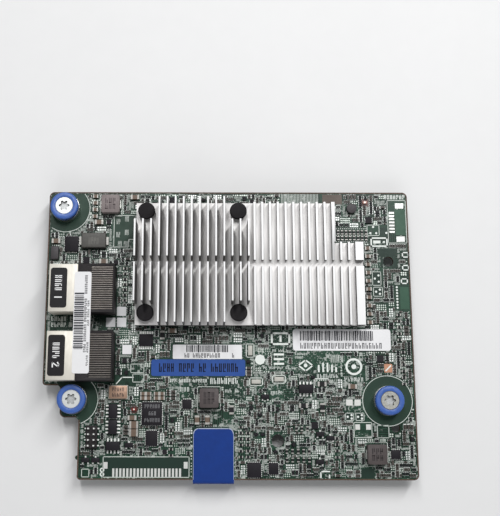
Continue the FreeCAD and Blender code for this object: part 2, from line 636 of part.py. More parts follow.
def oscillator_lid():
    x, y, length, width = OSCILLATOR
    z = TOP + SEAT_GAP + OSC_BASE_H
    inset = OSC_LID_INSET
    return rounded_plate(x - length / 2 + inset, y - width / 2 + inset, x + length / 2 - inset,
                         y + width / 2 - inset, z, OSC_LID_H, 0.5)


def power_diode():
    x, y, length, width, height = DIODE
    body = block(x, y, length, width, TOP + SEAT_GAP * 2, height)
    rim = [edge for edge in body.Edges if edge.BoundBox.ZMin > TOP + height]
    return body.makeChamfer(0.3, rim)


def diode_leads():
    x, y, length, width, height = DIODE
    return [block(x + side * (length + DIODE_LEAD_REACH) / 2, y, DIODE_LEAD_REACH, DIODE_LEAD_W,
                  TOP, height * 0.45) for side in (-1, 1)]


def header_places():
    return [(HEADER_X + side * HEADER_PITCH / 2, HEADER_Y + (i - (HEADER_ROWS - 1) / 2) * HEADER_PITCH, side)
            for i in range(HEADER_ROWS) for side in (-1, 1)]


def header_base():
    body = block(HEADER_X, HEADER_Y, 2 * HEADER_PITCH, HEADER_ROWS * HEADER_PITCH, TOP + 0.2, HEADER_BASE_H)
    return body.cut(Part.makeCompound([
        block(x, y, HEADER_PIN, HEADER_PIN, TOP, HEADER_BASE_H + 1) for x, y, side in header_places()]))


def header_pins():
    """Square pins, each bent out sideways to a foot on the board."""
    pins = []
    for x, y, side in header_places():
        post = block(x, y, HEADER_PIN, HEADER_PIN, TOP, HEADER_PIN_H)
        foot = block(x + side * HEADER_FOOT / 2, y, HEADER_FOOT + HEADER_PIN, HEADER_PIN, TOP, 0.18)
        pins.append(post.fuse(foot).removeSplitter())
    return pins


def chip_part(x, y, size, along):
    """Body of a two-ended chip part."""
    length, width, height = size
    return turned([block(x, y, length * (1 - 2 * END_SHARE), width, TOP + SEAT_GAP, height)], x, y, along)[0]


def chip_ends(x, y, size, along):
    length, width, height = size
    end = length * END_SHARE
    ends = [block(x + side * (length - end) / 2, y, end, width + 2 * END_PROUD, TOP, height + END_PROUD)
            for side in (-1, 1)]
    return turned(ends, x, y, along)


def row_places(rows):
    """Places in each row, with the part's own axis across the row."""
    places = []
    for x, y, step_x, step_y, count in rows:
        along = "x" if step_y else "y"
        places += [(x + i * step_x, y + i * step_y, along) for i in range(count)]
    return places


def capacitors():
    """Every ceramic capacitor: place, size and axis."""
    found = [(x, y, CAP_1210, along) for x, y, along in BIG_CAPS]
    found += [(x, y, CAP_1206, along) for x, y, along in LARGE_CAPS]
    for x, y, step_x, step_y, count in CAP_ROWS:
        found += [(x + i * step_x, y + i * step_y, CAP_0805, "x") for i in range(count)]
    return found


def resistors():
    found = [(x, y, CHIP_1206, along) for x, y, along in RESISTORS]
    return found + [(x, y, CHIP_0603, along) for x, y, along in row_places(RESISTOR_ROWS)]


def bare_pads():
    """Tinned pads of the two connectors that were left off, and a few single ones."""
    x, y, width, length = FRONT_PAD
    pads = [block(x + i * FRONT_PAD_PITCH, y, width, length, TOP, PAD_T) for i in range(FRONT_PADS)]
    x, y, length, width = BACK_PAD
    pads += [block(x, y + i * BACK_PAD_PITCH, length, width, TOP, PAD_T) for i in range(BACK_PADS)]
    for x, y, length, width in FRONT_HOLD_DOWNS + BACK_HOLD_DOWNS + OTHER_PADS:
        pads.append(block(x, y, length, width, TOP, PAD_T))
    return pads


# ---- underside -------------------------------------------------------------------------------
def under_chips():
    return [block(x, y, length, width, UNDER - SEAT_GAP - UNDER_CHIP_H, UNDER_CHIP_H)
            for x, y, length, width in UNDER_CHIPS]


def under_capacitors():
    x, y = UNDER_CAP_FIRST
    length, width, height = UNDER_CAP_SIZE
    return [block(x + i * UNDER_CAP_PITCH, y + j * UNDER_CAP_PITCH, length, width, UNDER - height, height)
            for i in range(UNDER_CAP_ROWS) for j in range(UNDER_CAP_ROWS)]


def main():
    os.makedirs("parts", exist_ok=True)
    write("circuit_board", circuit_board())
    write("heat_sink", heat_sink())
    write("controller_chip", controller_chip())
    write("thermal_pads", thermal_pads())
    write("memory_chips", memory_chips())
    write("push_pins", [push_pin(x, y) for x, y in pin_places()])
    write("push_pin_springs", [pin_spring(x, y) for x, y in pin_places()])
    write("standoffs", [standoff(x, y) for x, y in SCREW_PLACES])
    write("screw_sleeves", [screw_sleeve(x, y) for x, y in SCREW_PLACES])
    for number, (x, y) in enumerate(SCREW_PLACES, 1):
        write(f"captive_screw_{number}", captive_screw(x, y))
        write(f"knob_ring_{number}", knob_ring(x, y))
        write(f"retaining_clip_{number}", retaining_clip(x, y))
        write(f"screw_spring_{number}", screw_spring(x, y))
    for number, y in enumerate(PORT_YS, 1):
        write(f"port_{number}_shell", port_shell(y))
        write(f"port_{number}_housing", port_housing(y))
        write(f"port_{number}_contacts", port_contacts(y))
    write("port_markers", [port_marker(y) for y in PORT_YS])
    write("mezzanine_connector", mezzanine_connector())
    write("mezzanine_contacts", mezzanine_contacts())
    write("push_here_label", label(PUSH_LABEL, TOP))
    write("serial_label", label(SERIAL_LABEL, TOP, 0.4))
    write("long_label", label(LONG_LABEL, TOP, 1.0))
    write("part_label", label(PART_LABEL, TOP + PORT_H, 0.8))
    write("pull_tab", pull_tab())
    write("power_inductors", [power_inductor(x, y) for x, y in INDUCTORS])
    write("inductor_terminals", [end for x, y in INDUCTORS for end in inductor_terminals(x, y)])
    write("power_diode", power_diode())
    write("power_diode_leads", diode_leads())
    write("oscillator_base", oscillator_base())
    write("oscillator_lid", oscillator_lid())
    write("leaded_chips", leaded_chips())
    write("chip_leads", chip_leads())
    write("flat_chips", [block(x, y, length, width, TOP + SEAT_GAP, height)
                         for x, y, length, width, height in FLAT_CHIPS])
    write("transistors", [block(x, y, SOT_L, SOT_W, TOP + SEAT_GAP, SOT_H) for x, y in SOT_PLACES])
    write("small_inductors", small_inductors())
    write("pin_header", header_base())
    write("pin_header_pins", header_pins())
    write("status_leds", [block(x, y, LED_L, LED_W, TOP + SEAT_GAP, LED_H) for x, y in LEDS])
    write("ceramic_filters", [block(x, y, length, width, TOP + SEAT_GAP, BOXED_H)
                              for x, y, length, width in BOXED_PARTS])
    write("white_markers", [block(x, y, MARKER_SIZE, MARKER_SIZE, TOP, LABEL_T) for x, y in MARKERS])
    write("ceramic_capacitors", [chip_part(*place) for place in capacitors()])
    write("capacitor_ends", [end for place in capacitors() for end in chip_ends(*place)])
    write("chip_resistors", [chip_part(*place) for place in resistors()])
    write("resistor_ends", [end for place in resistors() for end in chip_ends(*place)])
    write("bare_pads", bare_pads())
    write("underside_chips", under_chips())
    write("underside_capacitors", under_capacitors())


main()
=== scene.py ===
import math
import random

import bmesh
import bpy
import numpy as np
from mathutils import Matrix, Vector


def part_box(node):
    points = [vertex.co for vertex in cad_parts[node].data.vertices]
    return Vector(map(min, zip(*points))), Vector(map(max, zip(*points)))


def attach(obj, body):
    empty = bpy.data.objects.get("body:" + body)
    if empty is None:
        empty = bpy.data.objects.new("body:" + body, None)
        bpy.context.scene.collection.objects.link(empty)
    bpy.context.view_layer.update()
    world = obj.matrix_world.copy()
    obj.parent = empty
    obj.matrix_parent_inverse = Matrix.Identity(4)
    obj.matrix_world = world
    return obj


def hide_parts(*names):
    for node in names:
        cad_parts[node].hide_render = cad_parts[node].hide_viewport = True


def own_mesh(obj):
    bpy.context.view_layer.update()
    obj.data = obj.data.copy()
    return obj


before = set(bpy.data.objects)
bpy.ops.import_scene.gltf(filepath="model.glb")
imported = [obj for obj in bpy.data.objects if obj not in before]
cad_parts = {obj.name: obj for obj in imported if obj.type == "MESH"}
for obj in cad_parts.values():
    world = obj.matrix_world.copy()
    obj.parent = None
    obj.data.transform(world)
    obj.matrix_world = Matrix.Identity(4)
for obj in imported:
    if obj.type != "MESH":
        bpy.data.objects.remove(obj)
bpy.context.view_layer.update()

bl_info = {
    "name": "Controller Card Finish",
    "version": (1, 0, 0),
    "blender": (4, 5, 0),
    "location": "View3D > Sidebar > Card",
    "description": "Dresses a packed controller card with small parts, print, solder and finishes",
    "category": "Object",
}

MM = 0.001
ROOT = "card"
BOARD_LOW, BOARD_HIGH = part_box("circuit_board")
TOP = BOARD_HIGH[2]
# From here on, sizes and places are in millimetres, places from the board's left and front edges.
BOARD_L = (BOARD_HIGH[0] - BOARD_LOW[0]) / MM
BOARD_W = (BOARD_HIGH[1] - BOARD_LOW[1]) / MM
CORNER = 1.9                        # radius of the board's corners
NOTCH_X, NOTCH_Y = 13.5, 33.3       # inner corner of the front left notch
LOBE_X, LOBE_Y = 6.6, 21.8          # outer corner of the board's lobe inside the notch
SKIN = 0.02                         # how far print stands on what it is printed on
COAT = 0.012                        # thickness of a field of plain mask
PAD = 0.05                          # thickness of a pad under a lead
CIRCLE_STEPS = 72
SOFT_ANGLE = math.radians(35)       # edges sharper than this are bevelled
SMOOTH_ANGLE = math.radians(40)     # edges blunter than this are shaded smooth
FIN_FOOT = 5.2                      # height above the board where the heat sink's fins begin
FIN_SLACK = 0.5                     # a fin's wall may have its middle this much lower
RECESS_RADIUS, RECESS_DEPTH = 2.1, 1.2      # in a screw's head
HEAD_RIM = 0.2                      # faces this near the head's top are not its recess
LEAD_LENGTH = 2.2                   # a chip's lead is shorter than this, corner to corner
PART_PAD = 0.04                     # thickness of the pads under small parts

CAMERA_PLACE = (-7.0, -34.6, 320.4)
CAMERA_TURN = (11.326, 0.0, 0.104)  # degrees
CAMERA_LENS, CAMERA_SHIFT = 59.66, 0.0786
FLOOR_SIZE, FLOOR_DROP = 3.0, 0.0001        # metres; the drop keeps it clear of the part
SKY_COLOR, SKY_STRENGTH = (0.95, 0.97, 1.0, 1), 0.2
LIGHT_HEIGHT = 0.6                          # metres
# name, place in metres, width in metres, power in watts
LIGHTS = (("left", (-0.12, 0.44, 0.72), 0.06, 2.95), ("right", (0.31, 0.44, 0.70), 0.08, 4.45),
          ("front", (0.05, -0.80, 0.55), 0.8, 2.4))


# ---- settings ----
class CardSizes(bpy.types.PropertyGroup):
    """Sizes that a user may change."""
    edge_margin: bpy.props.FloatProperty(
        name="Edge margin", description="Bare laminate round the board's edge",
        default=0.45 * MM, unit="LENGTH")
    print_line: bpy.props.FloatProperty(
        name="Print line", description="Width of a thin printed line",
        default=0.22 * MM, unit="LENGTH")
    keepout: bpy.props.FloatProperty(
        name="Screw keep-out", description="Radius kept free of parts round each screw",
        default=9.0 * MM, unit="LENGTH")
    soft_edge: bpy.props.FloatProperty(
        name="Soft edge", description="Bevel put on moulded and machined edges",
        default=0.08 * MM, unit="LENGTH")
    seed: bpy.props.IntProperty(
        name="Layout seed", description="Seed of the small parts' layout", default=11)


class CardColors(bpy.types.PropertyGroup):
    """Colours that a user may change."""
    mask: bpy.props.FloatVectorProperty(
        name="Solder mask", description="Green coat over bare laminate",
        size=3, subtype="COLOR", default=(0.0045, 0.0175, 0.0105))
    mask_copper: bpy.props.FloatVectorProperty(
        name="Mask over copper", description="Green coat over copper",
        size=3, subtype="COLOR", default=(0.019, 0.062, 0.037))
    print_white: bpy.props.FloatVectorProperty(
        name="Print", description="White legend print",
        size=3, subtype="COLOR", default=(0.70, 0.75, 0.70))
    knob_blue: bpy.props.FloatVectorProperty(
        name="Knob blue", description="Blue of the knob rings",
        size=3, subtype="COLOR", default=(0.045, 0.120, 0.420))
    tab_blue: bpy.props.FloatVectorProperty(
        name="Tab blue", description="Blue of the pull tab",
        size=3, subtype="COLOR", default=(0.005, 0.037, 0.222))
    label_blue: bpy.props.FloatVectorProperty(
        name="Label blue", description="Blue of the pressing label",
        size=3, subtype="COLOR", default=(0.021, 0.075, 0.302))


def sizes():
    return bpy.context.scene.card_sizes


def colors():
    return bpy.context.scene.card_colors


# ---- places and CAD nodes ----
def at(x, y, z=0.0):
    """Point in the frame, z above the board's top face."""
    return Vector((BOARD_LOW[0] + x * MM, BOARD_LOW[1] + y * MM, TOP + z * MM))


def around(x, y, radius, turn, z=SKIN):
    """Point on a circle round x, y."""
    return at(x + radius * math.cos(turn), y + radius * math.sin(turn), z)


def board_mm(point):
    """Place on the board of a point in the frame."""
    return (point[0] - BOARD_LOW[0]) / MM, (point[1] - BOARD_LOW[1]) / MM


def above_board(z):
    """Height in mm above the board's top face, plus the skin that print needs."""
    return (z - TOP) / MM + SKIN


def node_mesh(name):
    """A merged copy of a CAD node's mesh, as a bmesh."""
    mesh = bmesh.new()
    mesh.from_mesh(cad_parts[name].data)
    bmesh.ops.remove_doubles(mesh, verts=mesh.verts, dist=1e-6)
    return mesh


def islands(name):
    """Box of each separate solid of a CAD node: (low corner, high corner)."""
    mesh = node_mesh(name)
    left, boxes = set(mesh.verts), []
    while left:
        stack, points = [left.pop()], []
        while stack:
            vertex = stack.pop()
            points.append(vertex.co.copy())
            near = {edge.other_vert(vertex) for edge in vertex.link_edges} & left
            left -= near
            stack += near
        boxes.append([Vector([pick(p[i] for p in points) for i in range(3)])
                      for pick in (min, max)])
    mesh.free()
    return sorted(boxes, key=lambda box: [round(v, 6) for v in box[0]])


def footprints(name, margin=0.0):
    """x0, y0, x1, y1 of each separate solid of a CAD node."""
    return [(*[v - margin for v in board_mm(low)], *[v + margin for v in board_mm(high)])
            for low, high in islands(name)]


# ---- shader groups ----
class Graph:
    """A shader tree, with short ways to add linked nodes."""

    def __init__(self, tree):
        self.tree = tree

    def put(self, socket, value):
        """Link a socket to another, or give it a value."""
        if isinstance(value, bpy.types.NodeSocket):
            self.tree.links.new(value, socket)
        else:
            socket.default_value = value

    def node(self, kind, **values):
        """A node with its properties and inputs set; in input names _ stands for a space."""
        made = self.tree.nodes.new("ShaderNode" + kind)
        for key, value in values.items():
            if hasattr(made, key):
                setattr(made, key, value)
            else:
                self.put(made.inputs[key.replace("_", " ")], value)
        return made

    def place(self):
        """Object coordinates."""
        return self.node("TexCoord").outputs["Object"]

    def mix(self, factor, first, second, kind="RGBA"):
        """Mix of two colours or, as FLOAT, of two numbers."""
        made = self.node("Mix", data_type=kind)
        a, b, result = (6, 7, 2) if kind == "RGBA" else (2, 3, 0)
        for index, value in ((0, factor), (a, first), (b, second)):
            self.put(made.inputs[index], value)
        return made.outputs[result]

    def math(self, operation, first, second, clamp=False):
        made = self.node("Math", operation=operation, use_clamp=clamp)
        self.put(made.inputs[0], first)
        self.put(made.inputs[1], second)
        return made.outputs[0]

    def ramp(self, value, low, high, to_low=0.0, to_high=1.0):
        """Map a value from one range to another."""
        return self.node("MapRange", Value=value, From_Min=low, From_Max=high,
                         To_Min=to_low, To_Max=to_high).outputs[0]

    def blend(self, start, end, first, second, share):
        """Colour and roughness of a group from two textures, its relief from the first."""
        level = self.math("ADD", self.math("MULTIPLY", first, share),
                          self.math("MULTIPLY", second, 1 - share))
        offset = self.math("MULTIPLY", self.math("SUBTRACT", level, 0.5), start["Spread"])
        self.put(end["Color"], self.mix(self.ramp(level, 0.35, 0.65), start["Color"],
                                        start["Second color"]))
        self.put(end["Roughness"], self.math("ADD", start["Roughness"],
                                             self.math("MULTIPLY", offset, 2.0), True))
        self.put(end["Height"], first)


def new_group(name, inputs):
    """A shader group with the outputs that every finish uses; returns it and its two ends."""
    tree = bpy.data.node_groups.new(name, "ShaderNodeTree")
    for label, value in inputs.items():
        kind = {3: "Vector", 4: "Color"}[len(value)] if isinstance(value, tuple) else "Float"
        tree.interface.new_socket(name=label, in_out="INPUT",
                                  socket_type="NodeSocket" + kind).default_value = value
    for label, kind in (("Color", "Color"), ("Roughness", "Float"), ("Height", "Float")):
        tree.interface.new_socket(name=label, in_out="OUTPUT", socket_type="NodeSocket" + kind)
    return (Graph(tree), tree.nodes.new("NodeGroupInput").outputs,
            tree.nodes.new("NodeGroupOutput").inputs)


def build_grain_group():
    """Mottling of colour and roughness, with a fine bump height."""
    graph, start, end = new_group("Moulded grain", {
        "Color": (0.5, 0.5, 0.5, 1), "Second color": (0.4, 0.4, 0.4, 1), "Scale": 900.0,
        "Roughness": 0.5, "Spread": 0.1})
    place = graph.place()
    fine = graph.node("TexNoise", Vector=place, Scale=start["Scale"], Detail=3.0, Roughness=0.6)
    coarse = graph.node("TexNoise", Vector=place, Scale=140.0, Detail=4.0, Roughness=0.55)
    graph.blend(start, end, fine.outputs[0], coarse.outputs[0], 0.5)
    return graph.tree


def build_streak_group():
    """Drawn or milled streaks along one axis."""
    graph, start, end = new_group("Metal streaks", {
        "Color": (0.8, 0.8, 0.8, 1), "Second color": (0.6, 0.6, 0.6, 1),
        "Stretch": (3000.0, 60.0, 3000.0), "Roughness": 0.35, "Spread": 0.15})
    place = graph.place()
    stretched = graph.node("VectorMath", operation="MULTIPLY")
    graph.put(stretched.inputs[0], place)
    graph.put(stretched.inputs[1], start["Stretch"])
    streaks = graph.node("TexNoise", Vector=stretched.outputs[0], Scale=1.0, Detail=4.0,
                         Roughness=0.7)
    clouds = graph.node("TexNoise", Vector=place, Scale=120.0, Detail=3.0)
    graph.blend(start, end, streaks.outputs[0], clouds.outputs[0], 0.65)
    return graph.tree


def build_trace_group():
    """Copper under the mask: pours, runs of traces, tinned dots and their relief."""
    graph, start, end = new_group("Board traces", {
        "Mask": (0.02, 0.06, 0.03, 1), "Over copper": (0.03, 0.1, 0.05, 1),
        "Tinned dots": (0.25, 0.3, 0.26, 1)})
    place = graph.place()

    def texture(kind, **values):
        return graph.node("Tex" + kind, Vector=place, **values).outputs

    def over(value, limit):
        return graph.math("GREATER_THAN", value, limit)

    def times(value, factor):
        return graph.math("MULTIPLY", value, factor)

    def channels(color):
        return graph.node("SeparateColor", Color=color).outputs

    zone = channels(texture("Voronoi", distance="CHEBYCHEV", Scale=110.0)["Color"])
    across = texture("Wave", bands_direction="X", Scale=420.0, Distortion=0.6)["Fac"]
    along = texture("Wave", bands_direction="Y", Scale=380.0, Distortion=0.6)["Fac"]
    specks = texture("Noise", Scale=900.0, Detail=4.0, Roughness=0.75)[0]
    clouds = texture("Noise", Scale=70.0, Detail=2.0)[0]
    dots = texture("Voronoi", Scale=1500.0, Randomness=0.8)
    bars = texture("Voronoi", distance="CHEBYCHEV", Scale=900.0, Randomness=0.7)
    traces = over(graph.mix(over(zone[0], 0.5), across, along, "FLOAT"), 0.62)
    copper = graph.math("MAXIMUM", times(traces, 0.75), times(over(zone[1], 0.62), 0.6))
    rims = times(over(bars["Distance"], 0.40), over(channels(bars["Color"])[0], 0.7))
    spots = graph.math("LESS_THAN", dots["Distance"], 0.26)
    tinned = times(over(clouds, 0.47), graph.math("MAXIMUM", spots, rims))
    green = graph.mix(copper, start["Mask"], start["Over copper"])
    green = graph.mix(times(tinned, 0.8), green, start["Tinned dots"])
    gain = times(graph.ramp(specks, 0.3, 0.75, 0.55, 1.6), graph.ramp(clouds, 0.3, 0.7, 0.8, 1.2))
    scaled = graph.node("VectorMath", operation="SCALE", Vector=green, Scale=gain)
    graph.put(end["Color"], scaled.outputs[0])
    graph.put(end["Roughness"], graph.ramp(specks, 0.3, 0.7, 0.28, 0.5))
    graph.put(end["Height"], graph.math("ADD", copper, times(specks, 0.3)))
    return graph.tree


# ---- materials ----
# A colour is three numbers, or the name of a setting and a factor.
# colour, roughness, contrast, grain scale, bump, reflection (0.5), spread (0.2)
MOULDED = {
    "laminate_edge": ((0.10, 0.055, 0.035), 0.7, 0.5, 2500, 0.4),
    "bare_laminate": ((0.16, 0.13, 0.11), 0.7, 0.7, 2500, 0.3),
    "mask_plain": ((0.032, 0.092, 0.056), 0.4, 0.85, 700, 0.08, 0.25),
    "mask_dark": ((0.013, 0.034, 0.024), 0.45, 0.75, 900, 0.08, 0.25),
    "mask_keepout": ((0.018, 0.046, 0.030), 0.45, 0.8, 350, 0.08, 0.25),
    "print": (("print_white", 1), 0.6, 0.75, 2500, 0.1),
    "print_thin": (("print_white", 0.9), 0.6, 0.55, 1500, 0.1),
    "print_bold": ((0.80, 0.84, 0.80), 0.6, 0.88, 2500, 0.05),
    "knob_blue": (("knob_blue", 1), 0.38, 0.85, 1200, 0.15),
    "tab_blue": (("tab_blue", 1), 0.5, 0.85, 500, 0.08, 0.2),
    # the pale tab edge colour is a painted highlight on the pull tab's edges
    "tab_edge": ((0.42, 0.47, 0.60), 0.4, 0.85, 1200, 0.05),
    "label_blue": (("label_blue", 1), 0.55, 0.9, 700, 0.08, 0.25),
    "label_white": ((0.78, 0.78, 0.79), 0.5, 0.96, 1500, 0.05),
    "ink": ((0.035, 0.035, 0.045), 0.6, 0.6, 2500, 0.05),
    "ink_blue": ((0.006, 0.009, 0.025), 0.6, 0.7, 2500, 0.05, 0.2),
    "white_ink": ((0.84, 0.84, 0.84), 0.6, 0.92, 2500, 0.05),
    "name_plate": ((0.011, 0.010, 0.012), 0.5, 0.7, 900, 0.08, 0.25),
    "housing": ((0.022, 0.019, 0.020), 0.6, 0.6, 1500, 0.3, 0.25),
    "chip": ((0.014, 0.012, 0.016), 0.6, 0.7, 3000, 0.3, 0.22),
    "chip_mark": ((0.20, 0.20, 0.21), 0.7, 0.7, 3000, 0.1),
    "grey_mark": ((0.17, 0.165, 0.15), 0.7, 0.8, 2500, 0.1),
    "nylon": ((0.016, 0.014, 0.016), 0.7, 0.5, 3500, 0.6, 0.2),
    "pad_rubber": ((0.36, 0.40, 0.45), 0.9, 0.85, 800, 0.3),
    "tiny_body": ((0.050, 0.039, 0.031), 0.5, 0.6, 1800, 0.2),
    "dark_part": ((0.010, 0.010, 0.012), 0.5, 0.6, 2500, 0.2, 0.25),
    "tan": ((0.15, 0.100, 0.068), 0.5, 0.7, 2500, 0.2),
    "white_ceramic": ((0.52, 0.51, 0.46), 0.5, 0.8, 2500, 0.2),
    "grey_mould": ((0.085, 0.082, 0.074), 0.55, 0.75, 1500, 0.3),
    "dark_ferrite": ((0.050, 0.044, 0.048), 0.6, 0.7, 1800, 0.3),
    "ferrite": ((0.228, 0.192, 0.188), 0.62, 0.76, 1800, 0.4),
    "ferrite_deep": ((0.080, 0.064, 0.063), 0.62, 0.72, 1800, 0.4),
    "ferrite_mark": ((0.024, 0.018, 0.019), 0.7, 0.8, 2500, 0.1),
    "ferrite_print": ((0.110, 0.088, 0.090), 0.7, 0.8, 2500, 0.1),
    "lamp_amber": ((0.30, 0.055, 0.014), 0.3, 0.7, 2500, 0.1),
    "lamp_red": ((0.20, 0.016, 0.012), 0.3, 0.7, 2500, 0.1),
    # the near-white lamp dot is a painted highlight, a small glint on the lamp's top
    "lamp_dot": ((0.95, 0.86, 0.78), 0.3, 0.9, 2500, 0.1),
    "lamp_glow": ((0.085, 0.018, 0.010), 0.4, 0.5, 1500, 0.1),
    "floor": ((0.75, 0.75, 0.75), 0.65, 0.985, 30, 0.02, 0.5, 0.05),
}
# colour, metallic, roughness, contrast, streaks' frequency, bump (0.1), spread (0.3)
METALS = {
    # heat sink finishes: tops, floors and fin sides are one aluminium; the fin sides are painted
    # dark as painted shade between the fins, and the tops are a lit copy, a touch lighter than the
    # floors
    "sink_top": ((0.76, 0.76, 0.76), 0.2, 0.45, 0.94, (4000, 40, 900), 0.06, 0.12),
    "sink_floor": ((0.74, 0.725, 0.715), 0.15, 0.5, 0.93, (2500, 60, 900), 0.08, 0.15),
    "sink_wall": ((0.20, 0.195, 0.19), 0.6, 0.4, 0.8, (900, 60, 2500), 0.08, 0.15),
    "plated_steel": ((0.80, 0.79, 0.76), 1, 0.3, 0.85, (600, 600, 4000)),
    "head_steel": ((0.74, 0.76, 0.75), 0.6, 0.42, 0.85, 700),
    # the third screw's head is painted a darker grey than the other two
    "head_worn": ((0.48, 0.48, 0.44), 0.6, 0.45, 0.6, 1400, 0.3),
    # the star recess in each screw head: its walls are painted dark as painted shade, and its floor
    # a little darker than the head's steel, also painted shade
    "recess": ((0.09, 0.072, 0.055), 0.2, 0.5, 0.6),
    "recess_floor": ((0.62, 0.64, 0.64), 0.4, 0.45, 0.6, 2500, 0.3),
    "port_tin": ((0.72, 0.69, 0.62), 0.55, 0.6, 0.92, (900, 200, 900)),
    "contact": ((0.32, 0.29, 0.26), 0.6, 0.35, 0.45, (600, 3000, 3000)),
    "spring": ((0.55, 0.55, 0.55), 1, 0.4, 0.8),
    "tin": ((0.64, 0.65, 0.61), 0.7, 0.38, 0.65, 1500, 0.35),
    "pad_tin": ((0.74, 0.75, 0.72), 0.35, 0.42, 0.8, 1500, 0.2),
    "dull_tin": ((0.50, 0.49, 0.46), 0.4, 0.45, 0.6, 1500, 0.35),
    "lead_tin": ((0.90, 0.91, 0.88), 0.3, 0.4, 0.85, 1500, 0.2),
    "part_tin": ((0.92, 0.95, 0.92), 0.35, 0.42, 0.66, 1300, 0.5),
    "plated_hole": ((0.66, 0.72, 0.66), 0.3, 0.4, 0.7, 900),
    "copper_lid": ((0.46, 0.30, 0.215), 0.6, 0.45, 0.72, 800, 0.15),
    "copper": ((0.50, 0.27, 0.18), 1, 0.4, 0.8, 1200),
}
# brightness of the tinned dots
MASKS = {"solder_mask": (0.5,), "mask_under": (0.12,)}
GROUPS = {}
MATERIALS = {}


def finish_material(name, builder, inputs, bump, **sockets):
    """A material whose colour, roughness and relief come from a shared group."""
    made = bpy.data.materials.new(name)
    made.use_nodes = True
    graph = Graph(made.node_tree)
    shader = graph.tree.nodes["Principled BSDF"].inputs
    if builder not in GROUPS:
        GROUPS[builder] = builder()
    effect = graph.node("Group", node_tree=GROUPS[builder])
    for key, value in inputs.items():
        effect.inputs[key].default_value = value
    relief = graph.node("Bump", Strength=bump, Distance=0.0001, Height=effect.outputs["Height"])
    sockets.update(Base_Color=effect.outputs["Color"], Roughness=effect.outputs["Roughness"],
                   Normal=relief.outputs[0])
    for key, value in sockets.items():
        graph.put(shader[key.replace("_", " ")], value)
    made.diffuse_color = (*list(inputs.values())[0][:3], 1)
    return made


def tinted(color, factor=1.0):
    """A colour as the tables give it, times a factor, with its alpha."""
    if isinstance(color[0], str):
        name, share = color
        color, factor = getattr(colors(), name), factor * share
    return (*[min(1.0, c * factor) for c in color], 1.0)


def moulded(name, color, rough, contrast, scale, bump, reflection=0.5, spread=0.2):
    """Plastic, ceramic, print or ferrite."""
    return finish_material(name, build_grain_group, {
        "Color": tinted(color), "Second color": tinted(color, contrast), "Scale": scale,
        "Roughness": rough, "Spread": spread}, bump, Specular_IOR_Level=reflection)


def metal(name, color, metallic, rough, contrast, stretch=(3000.0, 60.0, 3000.0), bump=0.1,
          spread=0.3):
    """Drawn, milled, turned or tinned metal."""
    stretch = stretch if isinstance(stretch, tuple) else (stretch,) * 3
    return finish_material(name, build_streak_group, {
        "Color": tinted(color), "Second color": tinted(color, contrast), "Stretch": stretch,
        "Roughness": rough, "Spread": spread}, bump, Metallic=metallic)


def mask(name, dots):
    """Solder mask over traces."""
    return finish_material(name, build_trace_group, {
        "Mask": tinted(("mask", 1.0)), "Over copper": tinted(("mask_copper", 1.0)),
        "Tinned dots": tinted(("print_white", dots))}, 0.25, Specular_IOR_Level=0.25)


def material(name):
    """One of the card's materials, each made once."""
    if name not in MATERIALS:
        for table, maker in ((MOULDED, moulded), (METALS, metal), (MASKS, mask)):
            if name in table:
                MATERIALS[name] = maker(name.replace("_", " ").capitalize(), *table[name])
    return MATERIALS[name]


def paint(finish, *names):
    """Give CAD nodes their finish."""
    for name in names:
        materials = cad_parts[name].data.materials
        materials.clear()
        materials.append(material(finish))


def add_finishes(piece, *finishes, pick):
    """Give a piece more finishes, and each face the one that pick(face) numbers."""
    for finish in finishes:
        piece.data.materials.append(material(finish))
    for polygon in piece.data.polygons:
        polygon.material_index = pick(polygon)


# ---- modelling helpers ----
def focus(*pieces):
    """Make these pieces the selection, the first one active."""
    if bpy.context.object and bpy.context.object.mode != "OBJECT":
        bpy.ops.object.mode_set(mode="OBJECT")
    bpy.ops.object.select_all(action="DESELECT")
    for piece in pieces:
        piece.select_set(True)
    if pieces:
        bpy.context.view_layer.objects.active = pieces[0]


def add_cube(low, high):
    """Box between two corners in the frame."""
    focus()
    bpy.ops.mesh.primitive_cube_add(size=1, location=(low + high) / 2)
    piece = bpy.context.object
    piece.scale = high - low
    focus(piece)
    bpy.ops.object.transform_apply(location=True, rotation=True, scale=True)
    return piece


def edit(piece, pick):
    """Enter edit mode with the faces selected that pick(face) accepts."""
    focus(piece)
    bpy.ops.object.mode_set(mode="EDIT")
    bpy.ops.mesh.select_mode(type="FACE")
    bpy.ops.mesh.select_all(action="DESELECT")
    mesh = bmesh.from_edit_mesh(piece.data)
    for face in mesh.faces:
        face.select_set(bool(pick(face)))
    bmesh.update_edit_mesh(piece.data)


def bevel(piece, width, segments, **limits):
    """Bevel a piece's edges, and apply it."""
    focus(piece)
    modifier = piece.modifiers.new("Bevel", "BEVEL")
    for key, value in {"width": width, "segments": segments, **limits}.items():
        setattr(modifier, key, value)
    bpy.ops.object.modifier_apply(modifier=modifier.name)


def smooth(piece):
    focus(piece)
    bpy.ops.object.shade_smooth_by_angle(angle=SMOOTH_ANGLE)


def own(piece, finish=None, body=ROOT, slot=None, replaces=()):
    """Give a finished piece its material and the body that it rides on."""
    if finish:
        piece.data.materials.clear()
        piece.data.materials.append(material(finish))
    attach(piece, body)
    if replaces:
        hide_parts(*replaces)
    return piece


def link(name, data):
    """Object of a mesh, linked to the scene."""
    piece = bpy.data.objects.new(name, data)
    bpy.context.scene.collection.objects.link(piece)
    return piece


